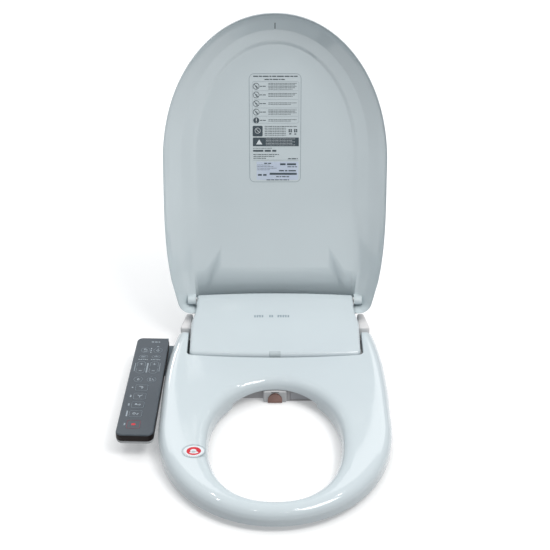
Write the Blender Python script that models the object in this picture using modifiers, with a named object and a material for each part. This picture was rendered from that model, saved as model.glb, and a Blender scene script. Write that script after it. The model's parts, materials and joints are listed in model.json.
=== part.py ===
"""Electric bidet seat: rear housing, heated seat, lid, spray nozzle, warm-air dryer and side control panel.

World axes: +X to the right when seen from the front, -Y towards the front, +Z up.
Origin: middle of the line between the two mounting slots, on the underside of the mounting plate.
The seat is modelled down and the lid open against its stop.
"""

import math

import bmesh
import bpy
from mathutils import Matrix, Vector

MM = 0.001
CLEAR = 0.3 * MM                    # gap between pieces that touch

# Overall sizes
SEAT_WIDTH = 380 * MM
SEAT_FRONT = 480 * MM               # from the mounting line to the front of the seat
SEAT_WIDEST = 267 * MM              # distance in front of the mounting line where the seat is widest
LID_WIDTH = SEAT_WIDTH + 9.5 * MM
LID_LENGTH = 518.6 * MM             # from the lid's hinge axis to its front tip
LID_WIDEST = 257.5 * MM
FRONT_ROUNDNESS = 2.05              # exponent of the superellipse at the front
SIDE_SWELL = 0.211                  # the rear sides swell by this times distance squared
REAR_TAPER = 1.99                   # and taper by this times distance cubed

# Seat
SEAT_BOTTOM = 12 * MM
SEAT_REAR_TOP = 50 * MM
SEAT_FRONT_TOP = 38 * MM
SEAT_WALL = 3 * MM
SEAT_PLATE = 2.5 * MM
SEAT_AXIS_Y = -34 * MM
SEAT_AXIS_Z = 34 * MM
SEAT_KNUCKLE_R = 15.5 * MM
OPENING_WIDTH = 214 * MM
OPENING_REAR = 169 * MM             # all three are distances in front of the mounting line
OPENING_WIDEST = 302 * MM
OPENING_FRONT = 444 * MM
OPENING_FLARE = 9 * MM
BUFFER_R = 9 * MM
NOTCH_CORNER_R = 11 * MM
HEATER_FOIL = 0.6 * MM

# Lid
LID_AXIS_Y = 29.7 * MM
LID_AXIS_Z = 77.2 * MM
LID_RIM_DROP = 22 * MM              # from the axis down to the rim of the closed lid
LID_OUTER = ((0, 0), (0.6, 7), (3, 13), (10, 19), (27, 26.5), (52, 34), (80, 37), (120, 38))
LID_INNER = ((3, -5), (3, 0), (10, 7.5), (30, 22), (54, 31), (82, 34), (122, 35))
LID_SQUARING = 0.45                 # how much tighter the dish's section is at its rear corners
LID_REAR = 16 * MM                  # how far the lid reaches behind its axis
LID_CORNER_R = 24 * MM
LID_LEAN = math.radians(12.66)      # the open lid leans back this far
LID_NOTCH_FRONT = 10 * MM           # the notch round the housing ends this far in front of the axis
KNUCKLE_R = 9 * MM
KNUCKLE_LENGTH = 17 * MM
PIN_R = 2.5 * MM

# Housing
HOUSING_WIDTH = 301.2 * MM
NECK_WIDTH = HOUSING_WIDTH - 15.2 * MM
NECK_START = 8 * MM                 # the neck begins here and runs to the back
FLARE_LENGTH = 28 * MM
HOUSING_FRONT = 103 * MM
HOUSING_BACK = 60 * MM
HOUSING_CROWN = ((0, 50), (43, 60), (83, 70), (103, 76), (113, 80), (128, 85.5), (143, 87))
CASE_TOP = 24 * MM                  # parting line of the lower case and the rear cover
CASE_BOTTOM = 0.5 * MM
HOUSING_WALL = 2.5 * MM
SHOULDER_WIDTH = HOUSING_WIDTH + 30.8 * MM
SHOULDER_TOP = 48.5 * MM
SHOULDER_FRONT = 17 * MM
SHOULDER_BACK = 30 * MM
RECESS_DEPTH = 6.3 * MM             # pocket under the case for the mounting plate
CASE_FLOOR = 9 * MM

# Low front of the case that reaches over the bowl
TONGUE_LEFT = 60 * MM
TONGUE_RIGHT = 68 * MM
TONGUE_TOP = 22 * MM
TONGUE_LEFT_FRONT = 160 * MM
TONGUE_RIGHT_FRONT = 168 * MM

# Mounting plate
PLATE_WIDTH = 180 * MM
PLATE_DEPTH = 76 * MM
PLATE_THICK = 5.8 * MM
SLOT_SPACING = 140 * MM
SLOT_WIDTH = 8.5 * MM
SLOT_LENGTH = 26 * MM

# Nozzle
NOZZLE_SLOPE = math.radians(11)
NOZZLE_EXIT_Y = 172 * MM
NOZZLE_EXIT_Z = 10.3 * MM
NOZZLE_R = 9.8 * MM
NOZZLE_REAR = 32 * MM               # Y of the barrel's rear end
NOZZLE_TIP = 14 * MM
NOZZLE_WALL = 2 * MM
NOZZLE_CLEAR = 0.5 * MM
GUIDE_HALF = 20 * MM
GUIDE_ROOF = 3.2 * MM
TUNNEL_CLEAR = 2 * MM
TUNNEL_HALF = 78 * MM
GEAR_MODULE = 1 * MM
PINION_TEETH = 12
PINION_Y = -38 * MM
BACKLASH = 0.4 * MM
RACK_HALF = 2.5 * MM
RACK_ROOT = NOZZLE_R + 0.1 * MM      # above the nozzle's centre line
DRIVE_MOTOR_R = 7 * MM
NOZZLE_TRAVEL = 62 * MM

# Side panel
PANEL_X = -SEAT_WIDTH / 2 - 30.8 * MM
PANEL_Y = -178.6 * MM
PANEL_TOP = 46 * MM
PANEL_YAW = math.radians(-1.82)
PANEL_LENGTH = 267 * MM
PANEL_REAR_WIDTH = 57.3 * MM
PANEL_FRONT_WIDTH = 61.4 * MM
PANEL_CORNER_R = 11 * MM
PANEL_THICK = 19 * MM
FASCIA_THICK = 12.5 * MM
FASCIA_SKIN = 1.8 * MM
PANEL_WALL = 2 * MM
KEY_GAP = 0.35 * MM
KEY_FLANGE = 1 * MM
KEY_TRAVEL = 0.6 * MM
ARM_REAR = 20 * MM
ARM_FRONT = 98 * MM
ARM_BOTTOM = 1 * MM
ARM_TOP = 10.5 * MM
ARM_RISER = 25 * MM

WHITE = (0.60, 0.66, 0.68, 1)
WARM_GREY = (0.42, 0.42, 0.44, 1)
SLATE = (0.13, 0.15, 0.17, 1)
BLACK = (0.02, 0.015, 0.015, 1)
STEEL = (0.55, 0.5, 0.48, 1)
COPPER = (0.72, 0.38, 0.2, 1)
GREEN = (0.03, 0.2, 0.08, 1)
RUBBER = (0.3, 0.3, 0.31, 1)


# ---------------------------------------------------------------- scene helpers

def clear_scene():
    for obj in list(bpy.data.objects):
        bpy.data.objects.remove(obj, do_unlink=True)


def collection(name):
    made = bpy.data.collections.new(name)
    bpy.context.scene.collection.children.link(made)
    return made


def material(name, colour, roughness=0.35, metallic=0.0):
    made = bpy.data.materials.new(name)
    made.use_nodes = True
    shader = made.node_tree.nodes["Principled BSDF"]
    shader.inputs["Base Color"].default_value = colour
    shader.inputs["Roughness"].default_value = roughness
    shader.inputs["Metallic"].default_value = metallic
    return made


def empty(name, location, rotation=(0, 0, 0)):
    made = bpy.data.objects.new(name, None)
    made.location = location
    made.rotation_euler = rotation
    PARTS.objects.link(made)
    return made


def from_bmesh(name, mesh_builder):
    mesh = bpy.data.meshes.new(name)
    bmesh.ops.recalc_face_normals(mesh_builder, faces=mesh_builder.faces)
    mesh_builder.to_mesh(mesh)
    mesh_builder.free()
    return bpy.data.objects.new(name, mesh)


def part(obj, name, look, parent=None, smooth=True):
    """Names a finished piece and puts it in the model."""
    obj.name = name
    obj.data.materials.clear()
    obj.data.materials.append(look)
    if smooth:
        obj.data.shade_smooth()
        obj.data.set_sharp_from_angle(angle=math.radians(35))
    PARTS.objects.link(obj)
    obj.parent = parent
    return obj


def helper(obj, parent=None):
    """Keeps a cutter or an added body out of the finished model."""
    obj.hide_render = True
    obj.display_type = "WIRE"
    CUTTERS.objects.link(obj)
    obj.parent = parent
    return obj


def combine(obj, other, operation):
    modifier = obj.modifiers.new(operation.title(), "BOOLEAN")
    modifier.operation = operation
    modifier.object = other
    modifier.solver = "EXACT"


def cut(obj, *cutters, parent=None):
    for cutter in cutters:
        combine(obj, helper(cutter, parent), "DIFFERENCE")
    return obj


def join(obj, *others, parent=None):
    for other in others:
        combine(obj, helper(other, parent), "UNION")
    return obj


def bevel(obj, width, segments=2, angle=40):
    modifier = obj.modifiers.new("Bevel", "BEVEL")
    modifier.width = width
    modifier.segments = segments
    modifier.limit_method = "ANGLE"
    modifier.angle_limit = math.radians(angle)
    return obj


# ---------------------------------------------------------------- basic solids

def box(x, y, z, name="box"):
    """A block between two values on each axis."""
    builder = bmesh.new()
    bmesh.ops.create_cube(builder, size=1)
    size = Vector((x[1] - x[0], y[1] - y[0], z[1] - z[0]))
    middle = Vector((x[0] + x[1], y[0] + y[1], z[0] + z[1])) / 2
    bmesh.ops.scale(builder, vec=size, verts=builder.verts)
    bmesh.ops.translate(builder, vec=middle, verts=builder.verts)
    return from_bmesh(name, builder)


def rod(start, end, radius, sides=24, end_radius=None, name="rod"):
    """A cylinder or cone between two points."""
    start, end = Vector(start), Vector(end)
    along = end - start
    builder = bmesh.new()
    bmesh.ops.create_cone(
        builder, cap_ends=True, segments=sides, radius1=radius,
        radius2=radius if end_radius is None else end_radius, depth=along.length)
    turn = Vector((0, 0, 1)).rotation_difference(along).to_matrix().to_4x4()
    bmesh.ops.transform(
        builder, matrix=Matrix.Translation((start + end) / 2) @ turn, verts=builder.verts)
    return from_bmesh(name, builder)


def loft(loops, name="loft"):
    """Skins closed loops of equally many points and caps both ends."""
    builder = bmesh.new()
    rows = [[builder.verts.new(point) for point in loop] for loop in loops]
    count = len(rows[0])
    for lower, upper in zip(rows, rows[1:]):
        for i in range(count):
            j = (i + 1) % count
            builder.faces.new((lower[i], lower[j], upper[j], upper[i]))
    builder.faces.new(rows[0])
    builder.faces.new(rows[-1])
    return from_bmesh(name, builder)


def prism(outline, low, high, name="prism"):
    """A flat outline in plan, drawn up between two heights."""
    return loft([[(x, y, z) for x, y in outline] for z in (low, high)], name)


def side_prism(profile, left, right, name="side_prism"):
    """A side view, given as Y and Z, drawn across in X."""
    return loft([[(x, y, z) for y, z in profile] for x in (left, right)], name)


def plate(outlines, low, high, name="plate"):
    """A flat plate from an outer outline and the outlines of its holes."""
    curve = bpy.data.curves.new(name, "CURVE")
    curve.dimensions = "2D"
    curve.fill_mode = "BOTH"
    curve.extrude = (high - low) / 2
    for outline in outlines:
        spline = curve.splines.new("POLY")
        spline.points.add(len(outline) - 1)
        for point, (x, y) in zip(spline.points, outline):
            point.co = (x, y, 0, 1)
        spline.use_cyclic_u = True
    source = bpy.data.objects.new(name, curve)
    bpy.context.scene.collection.objects.link(source)
    evaluated = source.evaluated_get(bpy.context.evaluated_depsgraph_get())
    mesh = bpy.data.meshes.new_from_object(evaluated)
    bpy.data.objects.remove(source, do_unlink=True)
    builder = bmesh.new()
    builder.from_mesh(mesh)
    bmesh.ops.remove_doubles(builder, verts=builder.verts, dist=1e-6)
    bmesh.ops.translate(builder, vec=(0, 0, (low + high) / 2), verts=builder.verts)
    return from_bmesh(name, builder)


# ---------------------------------------------------------------- outlines

def unit(x, y):
    length = math.hypot(x, y)
    return x / length, y / length


def inset(outline, distance):
    """Moves each side of a counter-clockwise outline inwards by a distance."""
    moved = []
    count = len(outline)
    for i, (x, y) in enumerate(outline):
        before, after = outline[i - 1], outline[(i + 1) % count]
        ax, ay = unit(x - before[0], y - before[1])
        bx, by = unit(after[0] - x, after[1] - y)
        nx, ny = unit(-(ay + by), ax + bx)
        mitre = max(0.4, nx * -ay + ny * ax)
        moved.append((x + nx * distance / mitre, y + ny * distance / mitre))
    return moved


def half_width(ahead, width, widest, front):
    """Half the width of the seat or lid at a distance ahead of its datum."""
    if ahead > widest:
        share = min(1, (ahead - widest) / (front - widest))
        return width / 2 * (1 - share ** FRONT_ROUNDNESS) ** (1 / FRONT_ROUNDNESS)
    back = widest - ahead
    return width / 2 + SIDE_SWELL * back ** 2 - REAR_TAPER * back ** 3


def oval(width, widest, front, rear, side_steps, front_steps):
    """The seat's and the lid's outline: counter-clockwise, front towards -Y, straight rear edge."""
    right = []
    for i in range(side_steps):
        ahead = rear + (widest - rear) * i / side_steps
        right.append((half_width(ahead, width, widest, front), -ahead))
    for i in range(front_steps):
        angle = math.pi / 2 * i / front_steps
        x = width / 2 * math.cos(angle) ** (2 / FRONT_ROUNDNESS)
        ahead = widest + (front - widest) * math.sin(angle) ** (2 / FRONT_ROUNDNESS)
        right.append((x, -ahead))
    left = [(-x, y) for x, y in right]
    return left + [(0, -front)] + right[::-1]


def opening_outline(steps=40):
    """The hole in the seat, an oval that is blunter at the front."""
    points = []
    for i in range(steps):
        angle = 2 * math.pi * i / steps
        across, ahead = math.cos(angle), -math.sin(angle)
        power, reach = (2.3, OPENING_FRONT - OPENING_WIDEST) if ahead > 0 else (
            2.05, OPENING_WIDEST - OPENING_REAR)
        x = OPENING_WIDTH / 2 * math.copysign(abs(across) ** (2 / power), across)
        y = -OPENING_WIDEST - reach * math.copysign(abs(ahead) ** (2 / power), ahead)
        points.append((x, y))
    return points


def fillet(outline, corners, radius, steps=5):
    """Rounds the numbered corners of an outline."""
    rounded = []
    count = len(outline)
    for i, (x, y) in enumerate(outline):
        if i not in corners:
            rounded.append((x, y))
            continue
        px, py = unit(outline[i - 1][0] - x, outline[i - 1][1] - y)
        nx, ny = unit(outline[(i + 1) % count][0] - x, outline[(i + 1) % count][1] - y)
        half = math.acos(max(-1, min(1, px * nx + py * ny))) / 2
        bx, by = unit(px + nx, py + ny)
        centre = (x + bx * radius / math.sin(half), y + by * radius / math.sin(half))
        reach = radius / math.tan(half)
        first = math.atan2(y + py * reach - centre[1], x + px * reach - centre[0])
        last = math.atan2(y + ny * reach - centre[1], x + nx * reach - centre[0])
        sweep = (last - first + math.pi) % (2 * math.pi) - math.pi
        for step in range(steps + 1):
            angle = first + sweep * step / steps
            rounded.append((centre[0] + radius * math.cos(angle), centre[1] + radius * math.sin(angle)))
    return rounded


def rectangle(x, y):
    """A counter-clockwise rectangle."""
    return [(x[0], y[0]), (x[1], y[0]), (x[1], y[1]), (x[0], y[1])]


def rounded_rectangle(width, height, radius, middle=(0, 0), steps=4):
    outline = rectangle(
        (middle[0] - width / 2, middle[0] + width / 2), (middle[1] - height / 2, middle[1] + height / 2))
    return fillet(outline, range(4), radius, steps)


def ellipse(width, height, middle=(0, 0), steps=20):
    angles = [2 * math.pi * i / steps for i in range(steps)]
    return [(middle[0] + width / 2 * math.cos(a), middle[1] + height / 2 * math.sin(a)) for a in angles]


# ---------------------------------------------------------------- housing

def housing_plan(grow=0.0):
    """Plan of the housing: full width in front, a flare, then the narrower neck the lid closes round."""
    wide, neck = HOUSING_WIDTH / 2 + grow, NECK_WIDTH / 2 + grow
    front, back = -HOUSING_FRONT - grow, HOUSING_BACK + grow
    flare = NECK_START - FLARE_LENGTH
    right = [(wide, front), (wide, flare), (neck, NECK_START), (neck, back)]
    left = [(-x, y) for x, y in reversed(right)]
    return right + left


def housing_profile(drop=0.0):
    """Side view of the housing's top, from the front lip up to the rear edge and down its back."""
    crown = [(y * MM - HOUSING_FRONT, z * MM - drop) for y, z in HOUSING_CROWN]
    crown[0] = (crown[0][0] + drop, crown[0][1])
    crown[-1] = (crown[-1][0] - drop, crown[-1][1])
    back, bottom = HOUSING_BACK - drop, CASE_TOP + CLEAR
    return [(crown[0][0], bottom)] + crown + [(back - 15 * MM, 0.8 * crown[-1][1]), (back, bottom)]


def crown_drop(x):
    """The cover is slightly crowned from side to side and rounded along its side edges."""
    edge = max(0, abs(x) - HOUSING_WIDTH / 2 + 14 * MM) / (14 * MM)
    return 2 * MM * (x / (HOUSING_WIDTH / 2)) ** 2 + 7 * MM * (1 - math.sqrt(1 - min(1, edge) ** 2))


def crowned(profile, half, name):
    """Draws a side view across in X, following the crown; the lowest points stay level."""
    offsets = [0, 2 * MM, 5 * MM, 9 * MM, 14 * MM, 60 * MM]
    stations = [-half + step for step in offsets] + [half - step for step in reversed(offsets)]
    loops = []
    for x in stations:
        drop = crown_drop(x)
        loops.append([(x, y, z - drop * min(1, max(0, (z - CASE_TOP) / (20 * MM)))) for y, z in profile])
    return loft(loops, name)


def slope_height(y):
    """Height of the nozzle's centre line."""
    return NOZZLE_EXIT_Z + (y + NOZZLE_EXIT_Y) * math.tan(NOZZLE_SLOPE)


def on_slope(y, above=0.0, x=0.0):
    """A point beside or above the nozzle's centre line."""
    return Vector((x, y - above * math.sin(NOZZLE_SLOPE), slope_height(y) + above * math.cos(NOZZLE_SLOPE)))


def sloped_box(half, rear, front, below, above, name="sloped_box"):
    profile = [(on_slope(y, h).y, on_slope(y, h).z) for y, h in (
        (front, below), (rear, below), (rear, above), (front, above))]
    return side_prism(profile, -half, half, name)


def guide_passage():
    """Room for the nozzle guide through the front walls of the case and cover."""
    half, reach = GUIDE_HALF - 4 * MM + CLEAR, NOZZLE_R + GUIDE_ROOF + CLEAR
    return sloped_box(half, -HOUSING_FRONT + 12 * MM, -HOUSING_FRONT - 6 * MM, -reach, reach)


def pin_holes(axis_y, axis_z, inner, outer):
    """Two holes on a hinge axis, one on each side."""
    radius = PIN_R + CLEAR
    return [rod((side * inner, axis_y, axis_z), (side * outer, axis_y, axis_z), radius, 16)
            for side in (-1, 1)]


def lower_case():
    plan = housing_plan()
    case = prism(plan, CASE_BOTTOM, CASE_TOP, "lower_case")
    left = box((-TONGUE_LEFT, -GUIDE_HALF - CLEAR), (-TONGUE_LEFT_FRONT, -HOUSING_FRONT + 5 * MM),
               (CASE_BOTTOM, TONGUE_TOP))
    right = box((GUIDE_HALF + CLEAR, TONGUE_RIGHT), (-TONGUE_RIGHT_FRONT, -HOUSING_FRONT + 5 * MM),
                (CASE_BOTTOM, TONGUE_TOP))
    shoulders = [box(sorted((side * (HOUSING_WIDTH / 2 - 10 * MM), side * SHOULDER_WIDTH / 2)),
                     (-SHOULDER_FRONT, SHOULDER_BACK), (CASE_BOTTOM, CASE_TOP)) for side in (-1, 1)]
    join(case, left, right, *shoulders)
    wall = HOUSING_WALL
    cut(case,
        prism(housing_plan(-wall), CASE_FLOOR, 2 * CASE_TOP),
        box((-TONGUE_LEFT + wall, -GUIDE_HALF - CLEAR - wall),
            (-TONGUE_LEFT_FRONT + wall, -HOUSING_FRONT + 8 * MM), (CASE_BOTTOM + wall, TONGUE_TOP - wall)),
        box((GUIDE_HALF + CLEAR + wall, TONGUE_RIGHT - wall),
            (-TONGUE_RIGHT_FRONT + wall, -HOUSING_FRONT + 8 * MM), (CASE_BOTTOM + wall, TONGUE_TOP - wall)),
        box((-PLATE_WIDTH / 2 - CLEAR, PLATE_WIDTH / 2 + CLEAR),
            (-PLATE_DEPTH / 2 - CLEAR, PLATE_DEPTH / 2 + CLEAR), (-10 * MM, RECESS_DEPTH)),
        guide_passage(),
        box((FLAP_X[0] - CLEAR, FLAP_X[1] + CLEAR),
            (-TONGUE_RIGHT_FRONT - wall, -TONGUE_RIGHT_FRONT + 2 * wall),
            (FLAP_Z[0] - CLEAR, FLAP_Z[1] + CLEAR)),
        rod((INLET_X[0], INLET_Y, INLET_Z), (INLET_X[1] + 20 * MM, INLET_Y, INLET_Z), INLET_R + CLEAR, 20),
        rod((-NECK_WIDTH / 2 - 5 * MM, CORD_Y, CORD_Z), (-NECK_WIDTH / 2 + 9 * MM, CORD_Y, CORD_Z),
            CORD_R + CLEAR, 20),
        rod((BUTTON_X - 30 * MM, BUTTON_Y, BUTTON_Z), (BUTTON_X + 30 * MM, BUTTON_Y, BUTTON_Z),
            BUTTON_R + CLEAR, 20))
    part(case, "lower_case", LOOKS["case"])


def shoulder_blocks():
    """Grey hinge blocks beside the neck, in front of which the seat's arms end."""
    for side, name in ((-1, "hinge_block_left"), (1, "hinge_block_right")):
        block = box(sorted((side * (HOUSING_WIDTH / 2 + CLEAR), side * SHOULDER_WIDTH / 2)),
                    (-SHOULDER_FRONT, SHOULDER_BACK), (CASE_TOP + CLEAR, SHOULDER_TOP))
        bevel(block, 4 * MM)
        part(block, name, LOOKS["grey"])


def rear_cover():
    cover = crowned(housing_profile(), HOUSING_WIDTH / 2, "rear_cover")
    flare = NECK_START - FLARE_LENGTH
    sides = []
    for side in (-1, 1):
        outline = [(side * HOUSING_WIDTH / 2, flare), (side * NECK_WIDTH / 2, NECK_START),
                   (side * NECK_WIDTH / 2, 2 * HOUSING_BACK), (side * HOUSING_WIDTH, 2 * HOUSING_BACK),
                   (side * HOUSING_WIDTH, flare)]
        sides.append(prism(outline if side < 0 else outline[::-1], -0.01, 0.2))
    cut(cover, *sides)
    inner = housing_profile(HOUSING_WALL)
    hollow = crowned([(inner[0][0], 0)] + inner + [(inner[-1][0], 0)], HOUSING_WIDTH / 2, "cover_hollow")
    combine(hollow, helper(prism(housing_plan(-HOUSING_WALL), -0.05, 0.2)), "INTERSECT")
    cut(cover, hollow, guide_passage(),
        *pin_holes(LID_AXIS_Y, LID_AXIS_Z, NECK_WIDTH / 2 - 8 * MM, NECK_WIDTH / 2 + 8 * MM),
        *pin_holes(SEAT_AXIS_Y, SEAT_AXIS_Z, HOUSING_WIDTH / 2 - 8 * MM, HOUSING_WIDTH / 2 + 8 * MM),
        box((-LENS_HALF - CLEAR, LENS_HALF + CLEAR), (-HOUSING_FRONT - 5 * MM, -HOUSING_FRONT + 5 * MM),
            (LENS_Z[0] - CLEAR, LENS_Z[1] + CLEAR)))
    part(cover, "rear_cover", LOOKS["white"])


def mounting_plate():
    base = rounded_rectangle(PLATE_WIDTH, PLATE_DEPTH, 6 * MM)
    corner = SLOT_WIDTH / 2 - 0.1 * MM
    slots = [rounded_rectangle(SLOT_WIDTH, SLOT_LENGTH, corner, (side * SLOT_SPACING / 2, 0))
             for side in (-1, 1)]
    part(plate([base] + slots, 0, PLATE_THICK), "mounting_plate", LOOKS["grey"], smooth=False)


# Indicator lens in the cover's front, dryer flap, water inlet, cord gland and release button
LENS_HALF = 14 * MM
LENS_Z = (41 * MM, 46 * MM)
FLAP_X = (26 * MM, 64 * MM)
FLAP_Z = (4 * MM, 19 * MM)
FLAP_THICK = 1.6 * MM
INLET_X = (112 * MM, NECK_WIDTH / 2 + 15 * MM)
INLET_Y = 42 * MM
INLET_Z = 16 * MM
INLET_R = 6 * MM
CORD_Y = 46 * MM
CORD_Z = 17 * MM
CORD_R = 5 * MM
BUTTON_X = SHOULDER_WIDTH / 2
BUTTON_Y = 6 * MM
BUTTON_Z = 15 * MM
BUTTON_R = 6.5 * MM
BUTTON_TRAVEL = 4 * MM


def housing_details():
    lens = box((-LENS_HALF, LENS_HALF), (-HOUSING_FRONT - 0.4 * MM, -HOUSING_FRONT + 2.2 * MM), LENS_Z)
    part(bevel(lens, 1 * MM), "indicator_lens", LOOKS["lens"])
    stub = rod((INLET_X[0], INLET_Y, INLET_Z), (INLET_X[1], INLET_Y, INLET_Z), INLET_R, 20)
    join(stub, rod((NECK_WIDTH / 2 + CLEAR, INLET_Y, INLET_Z), (NECK_WIDTH / 2 + 5 * MM, INLET_Y, INLET_Z),
                   INLET_R + 3 * MM, 6))
    part(stub, "water_inlet", LOOKS["steel"])
    gland = rod((-NECK_WIDTH / 2 - CLEAR, CORD_Y, CORD_Z), (-NECK_WIDTH / 2 - 9 * MM, CORD_Y, CORD_Z),
                CORD_R + 2 * MM, 20, CORD_R)
    join(gland, rod((-NECK_WIDTH / 2 + 6 * MM, CORD_Y, CORD_Z), (-NECK_WIDTH / 2 - 4 * MM, CORD_Y, CORD_Z),
                    CORD_R, 20))
    cut(gland, rod((-NECK_WIDTH / 2 - 20 * MM, CORD_Y, CORD_Z), (-NECK_WIDTH / 2 + 2 * MM, CORD_Y, CORD_Z),
                   CORD_R - 2 * MM, 16))
    part(gland, "cord_gland", LOOKS["grey"])
    button = rod((BUTTON_X - 14 * MM, BUTTON_Y, BUTTON_Z), (BUTTON_X + BUTTON_TRAVEL, BUTTON_Y, BUTTON_Z),
                 BUTTON_R, 20)
    part(bevel(button, 0.8 * MM, 1), "release_button", LOOKS["grey"])


# ---------------------------------------------------------------- inside the housing

TANK_X = (-NECK_WIDTH / 2 + 15 * MM, -44 * MM)
TANK_Y = (-18 * MM, 40 * MM)
TANK_Z = (10 * MM, 56 * MM)
HEATER_R = 8 * MM
HEATER_LENGTH = 62 * MM
FAN_X = 72 * MM
FAN_Y = 20 * MM
FAN_R = 24 * MM
FAN_Z = (9.5 * MM, 34 * MM)
FAN_WALL = 1.8 * MM
IMPELLER_R = 19 * MM
IMPELLER_BLADES = 8
DUCT_X = (32 * MM, 60 * MM)
DUCT_Z = (9.6 * MM, 19 * MM)
DUCT_WALL = 1.4 * MM


def water_system():
    tank = bevel(box(TANK_X, TANK_Y, TANK_Z), 6 * MM, 3)
    middle = (sum(TANK_Y) / 2, sum(TANK_Z) / 2)
    cut(tank, rod((TANK_X[1] - HEATER_LENGTH, *middle), (TANK_X[1] + 5 * MM, *middle), HEATER_R + CLEAR, 20))
    part(tank, "water_tank", LOOKS["clear_white"])
    heater = rod((TANK_X[1] - HEATER_LENGTH + 2 * MM, *middle), (TANK_X[1] + 6 * MM, *middle), HEATER_R, 20)
    join(heater, rod((TANK_X[1] + CLEAR, *middle), (TANK_X[1] + 4 * MM, *middle), HEATER_R + 4 * MM, 20))
    part(heater, "water_heater", LOOKS["steel"])
    valve = box((100 * MM, INLET_X[0] - CLEAR), (INLET_Y - 10 * MM, INLET_Y + 9 * MM), (10 * MM, 30 * MM))
    join(valve, rod((106 * MM, INLET_Y, 29 * MM), (106 * MM, INLET_Y, 46 * MM), 5.5 * MM, 16))
    part(valve, "inlet_valve", LOOKS["board"])
    diverter = rod((-34 * MM, -50 * MM, CASE_FLOOR + CLEAR), (-34 * MM, -50 * MM, 30 * MM), 11 * MM, 24)
    join(diverter, rod((-34 * MM, -50 * MM, 29 * MM), (-34 * MM, -50 * MM, 48 * MM), 8 * MM, 20))
    part(diverter, "flow_diverter", LOOKS["black"])


def electronics():
    edge = HOUSING_WIDTH / 2 - 14 * MM
    boards = (("control_board", -edge, 76 * MM, 60 * MM, ((16, 32, 14, 34, 8), (46, 66, 20, 42, 12))),
              ("power_board", edge - 60 * MM, 60 * MM, 72 * MM, ((14, 44, 24, 44, 12), (6, 18, 4, 16, 10))))
    for name, left, width, depth, chips in boards:
        front = -HOUSING_FRONT + 9 * MM
        board = box((left, left + width), (front, front + depth), (13 * MM, 14.6 * MM))
        join(board, *[box((left + a * MM, left + b * MM), (front + c * MM, front + d * MM),
                          (14 * MM, (14 + h) * MM)) for a, b, c, d, h in chips])
        part(board, name, LOOKS["board"], smooth=False)


def dryer():
    scroll = rod((FAN_X, FAN_Y, FAN_Z[0]), (FAN_X, FAN_Y, FAN_Z[1]), FAN_R, 32)
    hollow = rod((FAN_X, FAN_Y, FAN_Z[0] + FAN_WALL), (FAN_X, FAN_Y, FAN_Z[1] + 5 * MM),
                 FAN_R - FAN_WALL, 32)
    spout = box((DUCT_X[0] + DUCT_WALL, DUCT_X[1] - DUCT_WALL), (-40 * MM, FAN_Y),
                (DUCT_Z[0] + FAN_WALL, DUCT_Z[1] - DUCT_WALL))
    part(cut(scroll, hollow, spout), "fan_housing", LOOKS["black"])

    hub_top = FAN_Z[0] + 15 * MM
    impeller = rod((FAN_X, FAN_Y, FAN_Z[0] + FAN_WALL + 1 * MM), (FAN_X, FAN_Y, hub_top), 6 * MM, 20)
    join(impeller, rod((FAN_X, FAN_Y, FAN_Z[0] + FAN_WALL + 1 * MM), (FAN_X, FAN_Y, FAN_Z[0] + 5 * MM),
                       IMPELLER_R, 32))
    for i in range(IMPELLER_BLADES):
        angle = 2 * math.pi * i / IMPELLER_BLADES
        blade = box((4 * MM, IMPELLER_R - 0.5 * MM), (-0.6 * MM, 0.6 * MM),
                    (FAN_Z[0] + 4 * MM, hub_top - 2 * MM))
        blade.data.transform(Matrix.Translation((FAN_X, FAN_Y, 0)) @ Matrix.Rotation(angle, 4, "Z"))
        join(impeller, blade)
    part(impeller, "fan_impeller", LOOKS["grey"])

    motor_low = hub_top + 1.5 * MM
    motor = rod((FAN_X, FAN_Y, motor_low), (FAN_X, FAN_Y, motor_low + 18 * MM), 14 * MM, 24)
    flange = rod((FAN_X, FAN_Y, FAN_Z[1] + CLEAR), (FAN_X, FAN_Y, FAN_Z[1] + 2 * MM), FAN_R, 32)
    part(join(motor, flange), "fan_motor", LOOKS["steel"])

    front, back = -TONGUE_RIGHT_FRONT + 8 * MM, FAN_Y - FAN_R - 1 * MM
    duct = box(DUCT_X, (front, back), DUCT_Z)
    cut(duct, box((DUCT_X[0] + DUCT_WALL, DUCT_X[1] - DUCT_WALL), (front - 5 * MM, back + 5 * MM),
                  (DUCT_Z[0] + DUCT_WALL, DUCT_Z[1] - DUCT_WALL)))
    part(duct, "dryer_duct", LOOKS["black"], smooth=False)

    hinge = (FLAP_X[0], -TONGUE_RIGHT_FRONT + FLAP_THICK / 2 + 0.4 * MM, FLAP_Z[1] - FLAP_THICK / 2)
    pivot = empty("flap_axis", hinge)
    flap = box((0, FLAP_X[1] - FLAP_X[0]), (-FLAP_THICK / 2, FLAP_THICK / 2),
               (FLAP_Z[0] - hinge[2], FLAP_THICK / 2))
    part(bevel(flap, 0.5 * MM, 1), "dryer_flap", LOOKS["grey"], pivot)

    cartridge = box((-TONGUE_LEFT + 5 * MM, -GUIDE_HALF - 5 * MM), (-TONGUE_LEFT_FRONT + 6 * MM, -115 * MM),
                    (4 * MM, 18 * MM))
    part(bevel(cartridge, 1 * MM, 1), "deodoriser_filter", LOOKS["black"])


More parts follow.
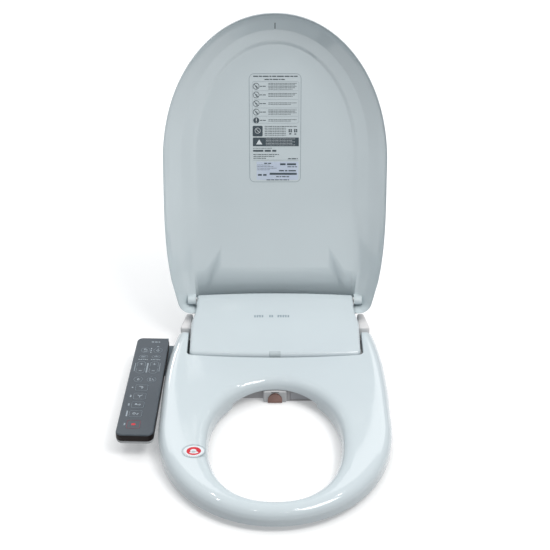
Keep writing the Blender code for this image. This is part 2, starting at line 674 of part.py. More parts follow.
def nozzle_unit():
    reach = NOZZLE_R + GUIDE_ROOF
    guide = side_prism([(-NOZZLE_EXIT_Y, CASE_BOTTOM), (-HOUSING_FRONT - 4 * MM, CASE_BOTTOM),
                        (-HOUSING_FRONT - 4 * MM, slope_height(-HOUSING_FRONT - 4 * MM) + reach),
                        (-NOZZLE_EXIT_Y, slope_height(-NOZZLE_EXIT_Y) + reach)],
                       -GUIDE_HALF, GUIDE_HALF, "nozzle_guide")
    bevel(guide, 2 * MM, 2, 60)
    trough = sloped_box(GUIDE_HALF - 4 * MM, -14 * MM, -HOUSING_FRONT - 8 * MM, -reach, 4 * MM)
    join(guide, trough)
    bore = rod(on_slope(-2 * NOZZLE_EXIT_Y), on_slope(3 * NOZZLE_REAR), NOZZLE_R + NOZZLE_CLEAR, 24)
    arch = box((-NOZZLE_R - NOZZLE_CLEAR, NOZZLE_R + NOZZLE_CLEAR),
               (-NOZZLE_EXIT_Y - 5 * MM, -NOZZLE_EXIT_Y + 14 * MM), (-0.01, NOZZLE_EXIT_Z))
    part(cut(guide, bore, arch), "nozzle_guide", LOOKS["grey"])

    barrel = rod(on_slope(-NOZZLE_EXIT_Y + NOZZLE_TIP), on_slope(NOZZLE_REAR), NOZZLE_R, 24)
    join(barrel, rack())
    cut(barrel, rod(on_slope(-NOZZLE_EXIT_Y + NOZZLE_TIP + 3 * MM), on_slope(2 * NOZZLE_REAR),
                    NOZZLE_R - NOZZLE_WALL, 24))
    part(barrel, "nozzle_barrel", LOOKS["nozzle"])
    tip = rod(on_slope(-NOZZLE_EXIT_Y + NOZZLE_TIP - CLEAR), on_slope(-NOZZLE_EXIT_Y - 1 * MM), NOZZLE_R, 24)
    bevel(tip, 2.5 * MM, 2, 60)
    spray = [rod(on_slope(y, NOZZLE_R - 2 * MM), on_slope(y, NOZZLE_R + 3 * MM), 1.2 * MM, 8)
             for y in (-NOZZLE_EXIT_Y + 5 * MM, -NOZZLE_EXIT_Y + 9 * MM)]
    part(cut(tip, *spray), "nozzle_tip", LOOKS["nozzle"])

    pitch_r = GEAR_MODULE * PINION_TEETH / 2
    centre = on_slope(PINION_Y, RACK_ROOT + 1.25 * GEAR_MODULE + pitch_r)
    pivot = empty("pinion_axis", centre)
    part(pinion(pitch_r), "drive_pinion", LOOKS["black"], pivot)
    motor = rod(centre + Vector((RACK_HALF + 2 * MM, 0, 0)), centre + Vector((22 * MM, 0, 0)),
                DRIVE_MOTOR_R, 24)
    join(motor, rod(centre + Vector((-RACK_HALF, 0, 0)), centre + Vector((6 * MM, 0, 0)), 1.5 * MM, 12))
    part(motor, "nozzle_motor", LOOKS["steel"])


def rack():
    """Rack along the top of the barrel, with a tooth space under the pinion's centre at rest."""
    pitch = math.pi * GEAR_MODULE
    tan20 = math.tan(math.radians(20))
    count = math.ceil(NOZZLE_TRAVEL / pitch) + 3
    half = pitch / 4 - BACKLASH / 4
    profile = []
    for i in range(count):
        middle = -pitch * 1.5 + pitch * i
        for offset, height in ((-half - 1.25 * GEAR_MODULE * tan20, 0), (-half + GEAR_MODULE * tan20, 2.25),
                               (half - GEAR_MODULE * tan20, 2.25), (half + 1.25 * GEAR_MODULE * tan20, 0)):
            height = RACK_ROOT + height * GEAR_MODULE
            profile.append((middle + offset, height))
    profile = [(profile[0][0] - MM, RACK_ROOT)] + profile + [(profile[-1][0] + MM, RACK_ROOT)]
    profile += [(profile[-1][0], NOZZLE_R / 2), (profile[0][0], NOZZLE_R / 2)]
    foot = on_slope(PINION_Y)
    along = Vector((0, math.cos(NOZZLE_SLOPE), math.sin(NOZZLE_SLOPE)))
    up = Vector((0, -math.sin(NOZZLE_SLOPE), math.cos(NOZZLE_SLOPE)))
    lines = [foot + along * a + up * b for a, b in profile]
    return side_prism([(point.y, point.z) for point in lines], -RACK_HALF, RACK_HALF, "rack")


def involute(angle):
    return math.tan(angle) - angle


def pinion(pitch_r):
    """Spur pinion whose tooth points straight at the rack at rest."""
    base_r = pitch_r * math.cos(math.radians(20))
    radii = [pitch_r - 1.2 * GEAR_MODULE, base_r + 0.05 * MM, pitch_r, pitch_r + 0.95 * GEAR_MODULE]
    half_pitch = math.pi / 2 / PINION_TEETH - BACKLASH / 4 / pitch_r
    flank = []
    for radius in radii:
        turn = math.acos(min(1, base_r / max(radius, base_r)))
        flank.append((radius, half_pitch + involute(math.radians(20)) - involute(turn)))
    outline = []
    down = NOZZLE_SLOPE - math.pi / 2
    for tooth in range(PINION_TEETH):
        middle = down + 2 * math.pi * tooth / PINION_TEETH
        outline += [(r * math.cos(middle - a), r * math.sin(middle - a)) for r, a in flank]
        outline += [(r * math.cos(middle + a), r * math.sin(middle + a)) for r, a in reversed(flank)]
    gear = loft([[(x, y, z) for y, z in outline] for x in (-RACK_HALF + 0.2 * MM, RACK_HALF - 0.2 * MM)])
    return cut(gear, rod((-RACK_HALF * 2, 0, 0), (RACK_HALF * 2, 0, 0), 1.5 * MM + CLEAR, 12),
               parent=bpy.data.objects["pinion_axis"])


def hinge_hardware():
    """Hinge pins and the two soft-close dampers they turn in."""
    lid_in, seat_in = NECK_WIDTH / 2 - 14 * MM, HOUSING_WIDTH / 2 - 14 * MM
    lid_out, seat_out = NECK_WIDTH / 2 + KNUCKLE_LENGTH - 3 * MM, HOUSING_WIDTH / 2 + 15 * MM
    for axis, names, inner, outer in (
            ((LID_AXIS_Y, LID_AXIS_Z), ("lid_pin_left", "lid_pin_right"), lid_in, lid_out),
            ((SEAT_AXIS_Y, SEAT_AXIS_Z), ("seat_pin_left", "seat_pin_right"), seat_in, seat_out)):
        for side, name in zip((-1, 1), names):
            part(rod((side * inner, *axis), (side * outer, *axis), PIN_R, 16), name, LOOKS["steel"])
    for name, side, axis, wall, radius in (
            ("lid_damper", -1, (LID_AXIS_Y, LID_AXIS_Z), NECK_WIDTH / 2, 4.2 * MM),
            ("seat_damper", 1, (SEAT_AXIS_Y, SEAT_AXIS_Z), HOUSING_WIDTH / 2, 7 * MM)):
        start, end = wall - HOUSING_WALL - 1 * MM, wall - 45 * MM
        body = rod((side * start, *axis), (side * end, *axis), radius, 20)
        cut(body, rod((side * (start + 5 * MM), *axis), (side * (wall - 18 * MM), *axis), PIN_R + CLEAR, 16))
        part(body, name, LOOKS["black"])


# ---------------------------------------------------------------- seat

def seat_top(ahead):
    """Height of the seat's top, which falls towards the front."""
    return SEAT_REAR_TOP + (SEAT_FRONT_TOP - SEAT_REAR_TOP) * ahead / SEAT_FRONT


def seat_outline(distance=0.0, rear=-SEAT_AXIS_Y):
    return inset(oval(SEAT_WIDTH, SEAT_WIDEST, SEAT_FRONT, rear, 7, 12), distance)


def seat_blank(sections):
    """Stacks insets of the outline; a height over 0.5 counts down from the seat's top."""
    loops = []
    for distance, bottom, drop in sections:
        outline = seat_outline(distance)
        loops.append([(x, y, bottom if drop is None else seat_top(-y) - drop) for x, y in outline])
    return loft(loops, "seat_blank")


def notch(grow=0.0):
    """Room for the front of the housing between the seat's arms."""
    half, front = HOUSING_WIDTH / 2 + 4 * MM + grow, -HOUSING_FRONT - 4 * MM - grow
    return prism(fillet(rectangle((-half, half), (front, 0.1)), (0, 1), NOTCH_CORNER_R), -0.05, 0.2)


def opening_cutter(grow=0.0, flare=OPENING_FLARE):
    base = opening_outline()
    sections = ((grow, -20 * MM, None), (grow, 24 * MM, None), (grow - 0.12 * flare, None, 9 * MM),
                (grow - 0.4 * flare, None, 4 * MM), (grow - flare, None, 0.4 * MM),
                (grow - flare - 4 * MM, None, -6 * MM))
    loops = []
    for distance, bottom, drop in sections:
        loops.append([(x, y, bottom if drop is None else seat_top(-y) - drop)
                      for x, y in inset(base, distance)])
    return loft(loops, "opening")


def tunnel(half, grow):
    """Room under the rear of the seat for the nozzle guide."""
    reach = NOZZLE_R + GUIDE_ROOF + TUNNEL_CLEAR + grow
    rear, front = -HOUSING_FRONT + 10 * MM, -OPENING_REAR - 30 * MM
    profile = [(front, -0.02), (rear, -0.02), (rear, slope_height(rear) + reach),
               (front, slope_height(front) + reach)]
    return side_prism(profile, -half, half)


def seat():
    top = seat_blank(((2 * MM, SEAT_BOTTOM, None), (0, 18 * MM, None), (0.8 * MM, None, 14 * MM),
                      (4 * MM, None, 6 * MM), (11 * MM, None, 1.6 * MM), (22 * MM, None, 0)))
    axis = (SEAT_AXIS_Y, SEAT_AXIS_Z)
    inner, outer = HOUSING_WIDTH / 2 + 4.2 * MM, HOUSING_WIDTH / 2 + 20 * MM
    knuckles = [rod((side * inner, *axis), (side * outer, *axis), SEAT_KNUCKLE_R, 32) for side in (-1, 1)]
    cut(top, notch())
    join(top, *knuckles)
    pins = pin_holes(SEAT_AXIS_Y, SEAT_AXIS_Z, HOUSING_WIDTH / 2, HOUSING_WIDTH / 2 + 15.5 * MM)
    wall = SEAT_WALL
    hollow = seat_blank(((wall + 1 * MM, -10 * MM, None), (wall, 18 * MM, None),
                         (wall + 1.5 * MM, None, 15 * MM), (wall + 5 * MM, None, wall + 5 * MM),
                         (wall + 12 * MM, None, wall + 1 * MM),
                         (wall + 24 * MM, None, wall)))
    cut(hollow, notch(wall), opening_cutter(-wall, OPENING_FLARE + 2 * MM),
        box((-0.3, 0.3), (-HOUSING_FRONT + 30 * MM, 0.1), (-0.1, 0.2)))
    cut(top, opening_cutter(), hollow, tunnel(TUNNEL_HALF, 0), *pins)
    part(top, "seat_top_shell", LOOKS["white"])

    gap = wall + CLEAR
    low, high = SEAT_BOTTOM + CLEAR, SEAT_BOTTOM + CLEAR + SEAT_PLATE
    base = loft([[(x, y, z) for x, y in seat_outline(gap + 1 * MM)] for z in (low, 44 * MM)])
    cut(base, notch(gap), opening_cutter(-gap, OPENING_FLARE + 2 * MM),
        box((-0.3, 0.3), (-HOUSING_FRONT + 29 * MM, 0.1), (-0.1, 0.2)))
    pocket = box((-0.3, 0.3), (-0.6, 0.1), (high, 0.2))
    cut(pocket, tunnel(TUNNEL_HALF - CLEAR, SEAT_PLATE))
    cut(base, pocket, tunnel(TUNNEL_HALF - CLEAR - SEAT_PLATE, CLEAR))
    part(base, "seat_bottom_shell", LOOKS["grey_white"])

    foil_z = 33.5 * MM
    outer = inset(oval(SEAT_WIDTH, SEAT_WIDEST, SEAT_FRONT, 190 * MM, 4, 10), 13 * MM)
    foil = loft([[(x, y, z) for x, y in outer] for z in (foil_z - 4 * MM, foil_z - 4 * MM + HEATER_FOIL)])
    cut(foil, prism(inset(opening_outline(), -8 * MM), 0, 0.1))
    part(foil, "seat_heater", LOOKS["copper"])

    for name, x, y in (("seat_buffer_rear_left", -150, -215), ("seat_buffer_rear_right", 150, -215),
                       ("seat_buffer_front_left", -100, -410), ("seat_buffer_front_right", 100, -410)):
        foot = rod((x * MM, y * MM, 0), (x * MM, y * MM, SEAT_BOTTOM), BUFFER_R, 20)
        part(bevel(foot, 1.5 * MM, 1), name, LOOKS["rubber"])


# ---------------------------------------------------------------- lid

def lid_outline(distance):
    """The lid in plan about its hinge axis, moved inwards, tighter towards the rear corners."""
    base = oval(LID_WIDTH, LID_WIDEST, LID_LENGTH, 45 * MM, 8, 12)
    corner = half_width(-LID_REAR, LID_WIDTH, LID_WIDEST, LID_LENGTH)
    base += [(corner, LID_REAR), (-corner, LID_REAR)]
    full, tight = inset(base, distance), inset(base, distance * LID_SQUARING)
    blended = []
    for (x, y), (fx, fy), (tx, ty) in zip(base, full, tight):
        share = min(1, max(0, (-y - 30 * MM) / (140 * MM)))
        blended.append((fx * share + tx * (1 - share), fy * share + ty * (1 - share)))
    count = len(blended)
    rear = LID_REAR - 0.12 * distance
    blended[-2:] = [(blended[-2][0], rear), (blended[-1][0], rear)]
    return fillet(blended, (count - 2, count - 1), max(2 * MM, LID_CORNER_R - 0.4 * distance), 6)


def lid_blank(sections):
    """Stacks the outline at insets and heights above the rim."""
    return loft([[(x, y, height * MM - LID_RIM_DROP) for x, y in lid_outline(distance * MM)]
                 for distance, height in sections], "lid_shell")


def lid():
    pivot = empty("lid_axis", (0, LID_AXIS_Y, LID_AXIS_Z), (-math.pi / 2 - LID_LEAN, 0, 0))
    shell = lid_blank(LID_OUTER)
    half = NECK_WIDTH / 2 + 0.8 * MM
    crown = LID_OUTER[-1][1] * MM - LID_RIM_DROP
    blocks = [box(sorted((side * half, side * (half + KNUCKLE_LENGTH))), (-KNUCKLE_R, KNUCKLE_R),
                  (0, crown - 4 * MM)) for side in (-1, 1)]
    eyes = [rod((side * half, 0, 0), (side * (half + KNUCKLE_LENGTH), 0, 0), KNUCKLE_R, 24)
            for side in (-1, 1)]
    cut(shell, lid_blank(LID_INNER), parent=pivot)
    join(shell, *blocks, *eyes, parent=pivot)
    cut(shell, box((-half, half), (-LID_NOTCH_FRONT, 0.1), (-0.1, 0.1)),
        *[rod((side * (half - 5 * MM), 0, 0), (side * (half + KNUCKLE_LENGTH - 2.5 * MM), 0, 0),
              PIN_R + CLEAR, 16) for side in (-1, 1)], parent=pivot)
    part(shell, "lid_shell", LOOKS["white"], pivot)


# ---------------------------------------------------------------- side panel

# Keys in the panel's own frame: name, across, along, width, height, corner radius or 0 for an oval
KEYS = (
    ("key_wash", -9.9, 96, 16.5, 16.5, 0), ("key_bidet", 12, 96, 16.5, 16.5, 0),
    ("key_dry", -10.9, 77, 16, 11, 0), ("key_mode", 11, 77, 16, 11, 0),
    ("key_water_up", -11.8, 55.5, 15, 15.5, 4), ("key_water_down", -11.8, 36.5, 15, 15.5, 4),
    ("key_heat_up", 10.6, 55.5, 15, 15.5, 4), ("key_heat_down", 10.6, 36.5, 15, 15.5, 4),
    ("key_turbo", -11.8, 12, 16.5, 16, 0), ("key_child", 10.8, 12, 16.5, 16, 0),
    ("key_seat", -3, -10.4, 22, 17.5, 3.5), ("key_power_save", -3.2, -33.6, 22, 17.5, 3.5),
    ("key_clean", -3.6, -56.4, 22, 17.5, 3.5), ("key_night", -4, -79.5, 22, 17.5, 3.5),
    ("key_stop", -4, -106.5, 22.5, 21, 3.5),
)


def key_outline(width, height, radius, middle, grow=0.0):
    width, height = width * MM + 2 * grow, height * MM + 2 * grow
    middle = (middle[0] * MM, middle[1] * MM)
    if radius:
        return rounded_rectangle(width, height, radius * MM + grow, middle, 3)
    return ellipse(width, height, middle, 20)


def panel_outline(grow=0.0):
    rear, front = PANEL_REAR_WIDTH / 2, PANEL_FRONT_WIDTH / 2
    end = PANEL_LENGTH / 2
    outline = [(-front, -end), (front, -end), (rear, end), (-rear, end)]
    return inset(fillet(outline, range(4), PANEL_CORNER_R, 5), -grow)


def panel():
    pivot = empty("panel_axis", (PANEL_X, PANEL_Y, PANEL_TOP), (0, 0, PANEL_YAW))
    split = -FASCIA_THICK
    fascia = prism(panel_outline(), split, 0)
    bevel(fascia, 1.2 * MM, 2, 60)
    cut(fascia, prism(panel_outline(-PANEL_WALL), split - 5 * MM, -FASCIA_SKIN), parent=pivot)
    cut(fascia, *[prism(key_outline(w, h, r, (x, y), KEY_GAP), -0.01, 0.01) for _, x, y, w, h, r in KEYS],
        parent=pivot)
    part(fascia, "panel_fascia", LOOKS["slate"], pivot)

    case = prism(panel_outline(-0.6 * MM), -PANEL_THICK, split - CLEAR)
    bevel(case, 2.5 * MM, 2, 60)
    cut(case, prism(panel_outline(-PANEL_WALL - 0.6 * MM), -PANEL_THICK + PANEL_WALL, 0.01), parent=pivot)
    part(case, "panel_case", LOOKS["grey_white"], pivot)

    board_top = -FASCIA_SKIN - KEY_FLANGE - KEY_TRAVEL - 0.4 * MM
    board = prism(panel_outline(-PANEL_WALL - 1 * MM), board_top - 1.6 * MM, board_top)
    part(board, "panel_board", LOOKS["board"], pivot, smooth=False)

    for name, x, y, w, h, r in KEYS:
        rows = ((KEY_FLANGE, -FASCIA_SKIN - KEY_FLANGE - CLEAR), (KEY_FLANGE, -FASCIA_SKIN - CLEAR),
                (0, -FASCIA_SKIN - CLEAR), (0, 0.1 * MM), (-0.3 * MM, 0.35 * MM))
        loops = [[(a, b, z) for a, b in key_outline(w, h, r, (x, y), grow)] for grow, z in rows]
        part(loft(loops), name, LOOKS["red" if name == "key_stop" else "slate"], pivot)

    inner, riser = -HOUSING_WIDTH / 2 - CLEAR, PANEL_X + 28 * MM
    arm = box((riser - ARM_RISER, inner), (-ARM_FRONT, -ARM_REAR), (ARM_BOTTOM, ARM_TOP))
    join(arm, box((riser - ARM_RISER, riser), (-ARM_FRONT, -ARM_REAR),
                  (ARM_TOP - 2 * MM, PANEL_TOP - PANEL_THICK - CLEAR)))
    part(arm, "panel_arm", LOOKS["slate"])


def main():
    lower_case()
    shoulder_blocks()
    rear_cover()
    mounting_plate()
    housing_details()
    water_system()
    electronics()
    dryer()
    nozzle_unit()
    hinge_hardware()
    panel()
    seat()
    lid()


clear_scene()
PARTS = collection("bidet_seat")
CUTTERS = collection("cutters")
LOOKS = {
    "white": material("white_abs", WHITE, 0.15),
    "grey_white": material("underside_abs", WHITE, 0.35),
    "case": material("case_abs", WHITE, 0.3),
    "clear_white": material("tank_plastic", WHITE, 0.4),
    "grey": material("grey_abs", WARM_GREY, 0.35),
    "slate": material("panel_film", SLATE, 0.4),
    "black": material("black_plastic", BLACK, 0.4),
    "steel": material("steel", STEEL, 0.3, 1.0),
    "nozzle": material("nozzle_steel", (0.33, 0.26, 0.24, 1), 0.35, 0.6),
    "copper": material("copper_foil", COPPER, 0.3, 1.0),
    "board": material("circuit_board", GREEN, 0.5),
    "rubber": material("rubber", RUBBER, 0.7),
    "lens": material("lens", WARM_GREY, 0.1),
    "red": material("stop_key", SLATE, 0.4),
}
main()
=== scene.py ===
"""Looks of the electric bidet seat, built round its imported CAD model, in metres."""

import json
import math

import bmesh
import bpy
import numpy as np
from mathutils import Matrix, Vector
from mathutils.geometry import delaunay_2d_cdt


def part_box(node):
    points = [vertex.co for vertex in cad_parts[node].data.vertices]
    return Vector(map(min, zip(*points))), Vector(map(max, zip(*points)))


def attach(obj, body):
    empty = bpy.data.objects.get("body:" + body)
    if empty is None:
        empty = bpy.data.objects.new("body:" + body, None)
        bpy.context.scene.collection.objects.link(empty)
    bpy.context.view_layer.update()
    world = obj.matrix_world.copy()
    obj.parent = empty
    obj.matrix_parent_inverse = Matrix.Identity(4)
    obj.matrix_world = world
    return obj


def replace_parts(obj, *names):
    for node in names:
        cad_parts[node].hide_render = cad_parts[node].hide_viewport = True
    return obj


MM = 0.001
PRINT_THICK = 0.06 * MM
FRONT_POWER = 2.05                  # of the curve round the front of the seat and the lid


# ---------------------------------------------------------------- materials

def material(name, colour, roughness, second=None, patch=6, grain=700, bump=0.02, metal=0.0, coat=0.0,
             specular=0.5, stretch=(1, 1, 1), spread=0.04):
    """A moulded or metal finish: two close tones in soft patches, uneven gloss and a fine grain."""
    made = bpy.data.materials.new(name)
    made.use_nodes = True
    nodes, links = made.node_tree.nodes, made.node_tree.links
    shader = nodes["Principled BSDF"]
    shader.inputs["Metallic"].default_value = metal
    shader.inputs["Coat Weight"].default_value = coat
    shader.inputs["Specular IOR Level"].default_value = specular
    shader.inputs["Coat Roughness"].default_value = 0.03
    place = nodes.new("ShaderNodeTexCoord")
    mapping = nodes.new("ShaderNodeMapping")
    mapping.inputs["Scale"].default_value = stretch
    links.new(place.outputs["Object"], mapping.inputs["Vector"])

    patches = nodes.new("ShaderNodeTexNoise")
    patches.inputs["Scale"].default_value = patch
    patches.inputs["Detail"].default_value = 3
    links.new(mapping.outputs["Vector"], patches.inputs["Vector"])
    tones = nodes.new("ShaderNodeValToRGB")
    tones.color_ramp.elements[0].position = 0.35
    tones.color_ramp.elements[1].position = 0.65
    tones.color_ramp.elements[0].color = (*colour, 1)
    tones.color_ramp.elements[1].color = (*(second or [c * 0.97 for c in colour]), 1)
    links.new(patches.outputs["Fac"], tones.inputs["Fac"])
    links.new(tones.outputs["Color"], shader.inputs["Base Color"])

    gloss = nodes.new("ShaderNodeMapRange")
    gloss.inputs["To Min"].default_value = roughness - spread / 2
    gloss.inputs["To Max"].default_value = roughness + spread
    links.new(patches.outputs["Fac"], gloss.inputs["Value"])
    links.new(gloss.outputs["Result"], shader.inputs["Roughness"])

    fine = nodes.new("ShaderNodeTexNoise")
    fine.inputs["Scale"].default_value = grain
    fine.inputs["Detail"].default_value = 2
    links.new(mapping.outputs["Vector"], fine.inputs["Vector"])
    relief = nodes.new("ShaderNodeBump")
    relief.inputs["Strength"].default_value = bump
    relief.inputs["Distance"].default_value = 0.0004
    links.new(fine.outputs["Fac"], relief.inputs["Height"])
    links.new(relief.outputs["Normal"], shader.inputs["Normal"])
    return made


def tracked(name, ground, track, scale, metal=0.0, roughness=0.45):
    """A board or foil: printed tracks on a ground colour."""
    made = material(name, ground, roughness, bump=0.05, metal=metal)
    nodes, links = made.node_tree.nodes, made.node_tree.links
    shader = nodes["Principled BSDF"]
    bricks = nodes.new("ShaderNodeTexBrick")
    bricks.inputs["Color1"].default_value = (*ground, 1)
    bricks.inputs["Color2"].default_value = (*[c * 0.85 for c in ground], 1)
    bricks.inputs["Mortar"].default_value = (*track, 1)
    bricks.inputs["Scale"].default_value = scale
    bricks.inputs["Mortar Size"].default_value = 0.03
    links.new(nodes["Mapping"].outputs["Vector"], bricks.inputs["Vector"])
    links.new(bricks.outputs["Color"], shader.inputs["Base Color"])
    return made


# ---------------------------------------------------------------- curves and outlines

def unit(x, y):
    """The direction of a vector."""
    length = math.hypot(x, y)
    return x / length, y / length


def softened(points, width, low, high, step=0.25):
    """A function of one length in millimetres: straight lines through the points, blurred by a width."""
    grid = np.arange(low - 4 * width, high + 4 * width, step)
    xs, ys = zip(*points)
    values = np.interp(grid, xs, ys)
    start, end = (ys[1] - ys[0]) / (xs[1] - xs[0]), (ys[-1] - ys[-2]) / (xs[-1] - xs[-2])
    values = np.where(grid < xs[0], ys[0] + (grid - xs[0]) * start, values)
    values = np.where(grid > xs[-1], ys[-1] + (grid - xs[-1]) * end, values)
    reach = np.arange(-3 * width, 3 * width + step, step)
    weight = np.exp(-0.5 * (reach / width) ** 2)
    blurred = np.convolve(values, weight / weight.sum(), "same")
    return lambda at: np.interp(at, grid, blurred)


def inset(outline, distance):
    """Moves each side of a counter-clockwise outline inwards."""
    moved = []
    count = len(outline)
    for i, (x, y) in enumerate(outline):
        before, after = outline[i - 1], outline[(i + 1) % count]
        ax, ay = unit(x - before[0], y - before[1])
        bx, by = unit(after[0] - x, after[1] - y)
        nx, ny = unit(-(ay + by), ax + bx)
        mitre = max(0.4, nx * -ay + ny * ax)
        moved.append((x + nx * distance / mitre, y + ny * distance / mitre))
    return moved


def fillet(outline, corners, radius, steps=8):
    """Rounds the numbered corners of an outline."""
    rounded = []
    count = len(outline)
    for i, (x, y) in enumerate(outline):
        if i not in corners:
            rounded.append((x, y))
            continue
        px, py = unit(outline[i - 1][0] - x, outline[i - 1][1] - y)
        nx, ny = unit(outline[(i + 1) % count][0] - x, outline[(i + 1) % count][1] - y)
        half = math.acos(max(-1, min(1, px * nx + py * ny))) / 2
        bx, by = unit(px + nx, py + ny)
        centre = (x + bx * radius / math.sin(half), y + by * radius / math.sin(half))
        reach = radius / math.tan(half)
        first = math.atan2(y + py * reach - centre[1], x + px * reach - centre[0])
        last = math.atan2(y + ny * reach - centre[1], x + nx * reach - centre[0])
        sweep = (last - first + math.pi) % (2 * math.pi) - math.pi
        for step in range(steps + 1):
            angle = first + sweep * step / steps
            rounded.append((centre[0] + radius * math.cos(angle), centre[1] + radius * math.sin(angle)))
    return rounded


def rectangle(x, y):
    return [(x[0], y[0]), (x[1], y[0]), (x[1], y[1]), (x[0], y[1])]


def rounded_rectangle(width, height, radius, middle=(0, 0), steps=5):
    x, y = middle
    outline = rectangle((x - width / 2, x + width / 2), (y - height / 2, y + height / 2))
    return fillet(outline, range(4), radius, steps)


def ellipse(width, height, middle=(0, 0), steps=32):
    angles = [2 * math.pi * i / steps for i in range(steps)]
    return [(middle[0] + width / 2 * math.cos(a), middle[1] + height / 2 * math.sin(a)) for a in angles]


def half_width(ahead, width, widest, front):
    """Half the width of the seat or lid at a distance ahead of its datum."""
    if ahead > widest:
        share = min(1, (ahead - widest) / (front - widest))
        return width / 2 * (1 - share ** FRONT_POWER) ** (1 / FRONT_POWER)
    back = widest - ahead
    return width / 2 + 0.211 * back ** 2 - 1.99 * back ** 3


def oval(width, widest, front, rear, side_steps, front_steps):
    """The seat's and the lid's outline: counter-clockwise, front towards -Y, straight rear edge."""
    right = []
    for i in range(side_steps):
        ahead = rear + (widest - rear) * i / side_steps
        right.append((half_width(ahead, width, widest, front), -ahead))
    for i in range(front_steps):
        angle = math.pi / 2 * i / front_steps
        x = width / 2 * math.cos(angle) ** (2 / FRONT_POWER)
        ahead = widest + (front - widest) * math.sin(angle) ** (2 / FRONT_POWER)
        right.append((x, -ahead))
    left = [(-x, y) for x, y in right]
    return left + [(0, -front)] + right[::-1]


def resampled(outline, step):
    """The same closed outline with evenly spaced points."""
    points = np.array(list(outline) + [outline[0]])
    lengths = np.hypot(*np.diff(points, axis=0).T)
    along = np.concatenate(([0], np.cumsum(lengths)))
    count = max(8, int(round(along[-1] / step)))
    at = np.arange(count) * along[-1] / count
    return list(zip(np.interp(at, along, points[:, 0]), np.interp(at, along, points[:, 1])))


# ---------------------------------------------------------------- meshes

def finished(builder, name, look, sharp=50, solid=True):
    """Makes the object of a mesh builder; a body of any thickness has its faces turned outwards."""
    mesh = bpy.data.meshes.new(name)
    if solid:
        bmesh.ops.recalc_face_normals(builder, faces=builder.faces)
    builder.to_mesh(mesh)
    builder.free()
    made = bpy.data.objects.new(name, mesh)
    bpy.context.scene.collection.objects.link(made)
    mesh.materials.append(look)
    mesh.shade_smooth()
    mesh.set_sharp_from_angle(angle=math.radians(sharp))
    return made


def distances(points, outline, chosen=None):
    """Distance of each point to the nearest side of an outline, or to the nearest of its chosen sides."""
    start = np.array(outline)
    side = np.roll(start, -1, axis=0) - start
    if chosen is not None:
        middle = start + side / 2
        use = np.array([bool(chosen(x, y)) for x, y in middle])
        start, side = start[use], side[use]
    offset = points[:, None, :] - start[None]
    share = np.clip((offset * side).sum(2) / (side ** 2).sum(1), 0, 1)
    return np.hypot(*np.moveaxis(offset - share[..., None] * side, 2, 0)).min(1)


def inside(points, outline):
    """Whether each point lies inside an outline."""
    start = np.array(outline)
    end = np.roll(start, -1, axis=0)
    x, y = points[:, 0, None], points[:, 1, None]
    spans = (start[:, 1] > y) != (end[:, 1] > y)
    rise = np.where(end[:, 1] == start[:, 1], 1, end[:, 1] - start[:, 1])
    cross = start[:, 0] + (y - start[:, 1]) * (end[:, 0] - start[:, 0]) / rise
    return (spans & (x < cross)).sum(1) % 2 == 1


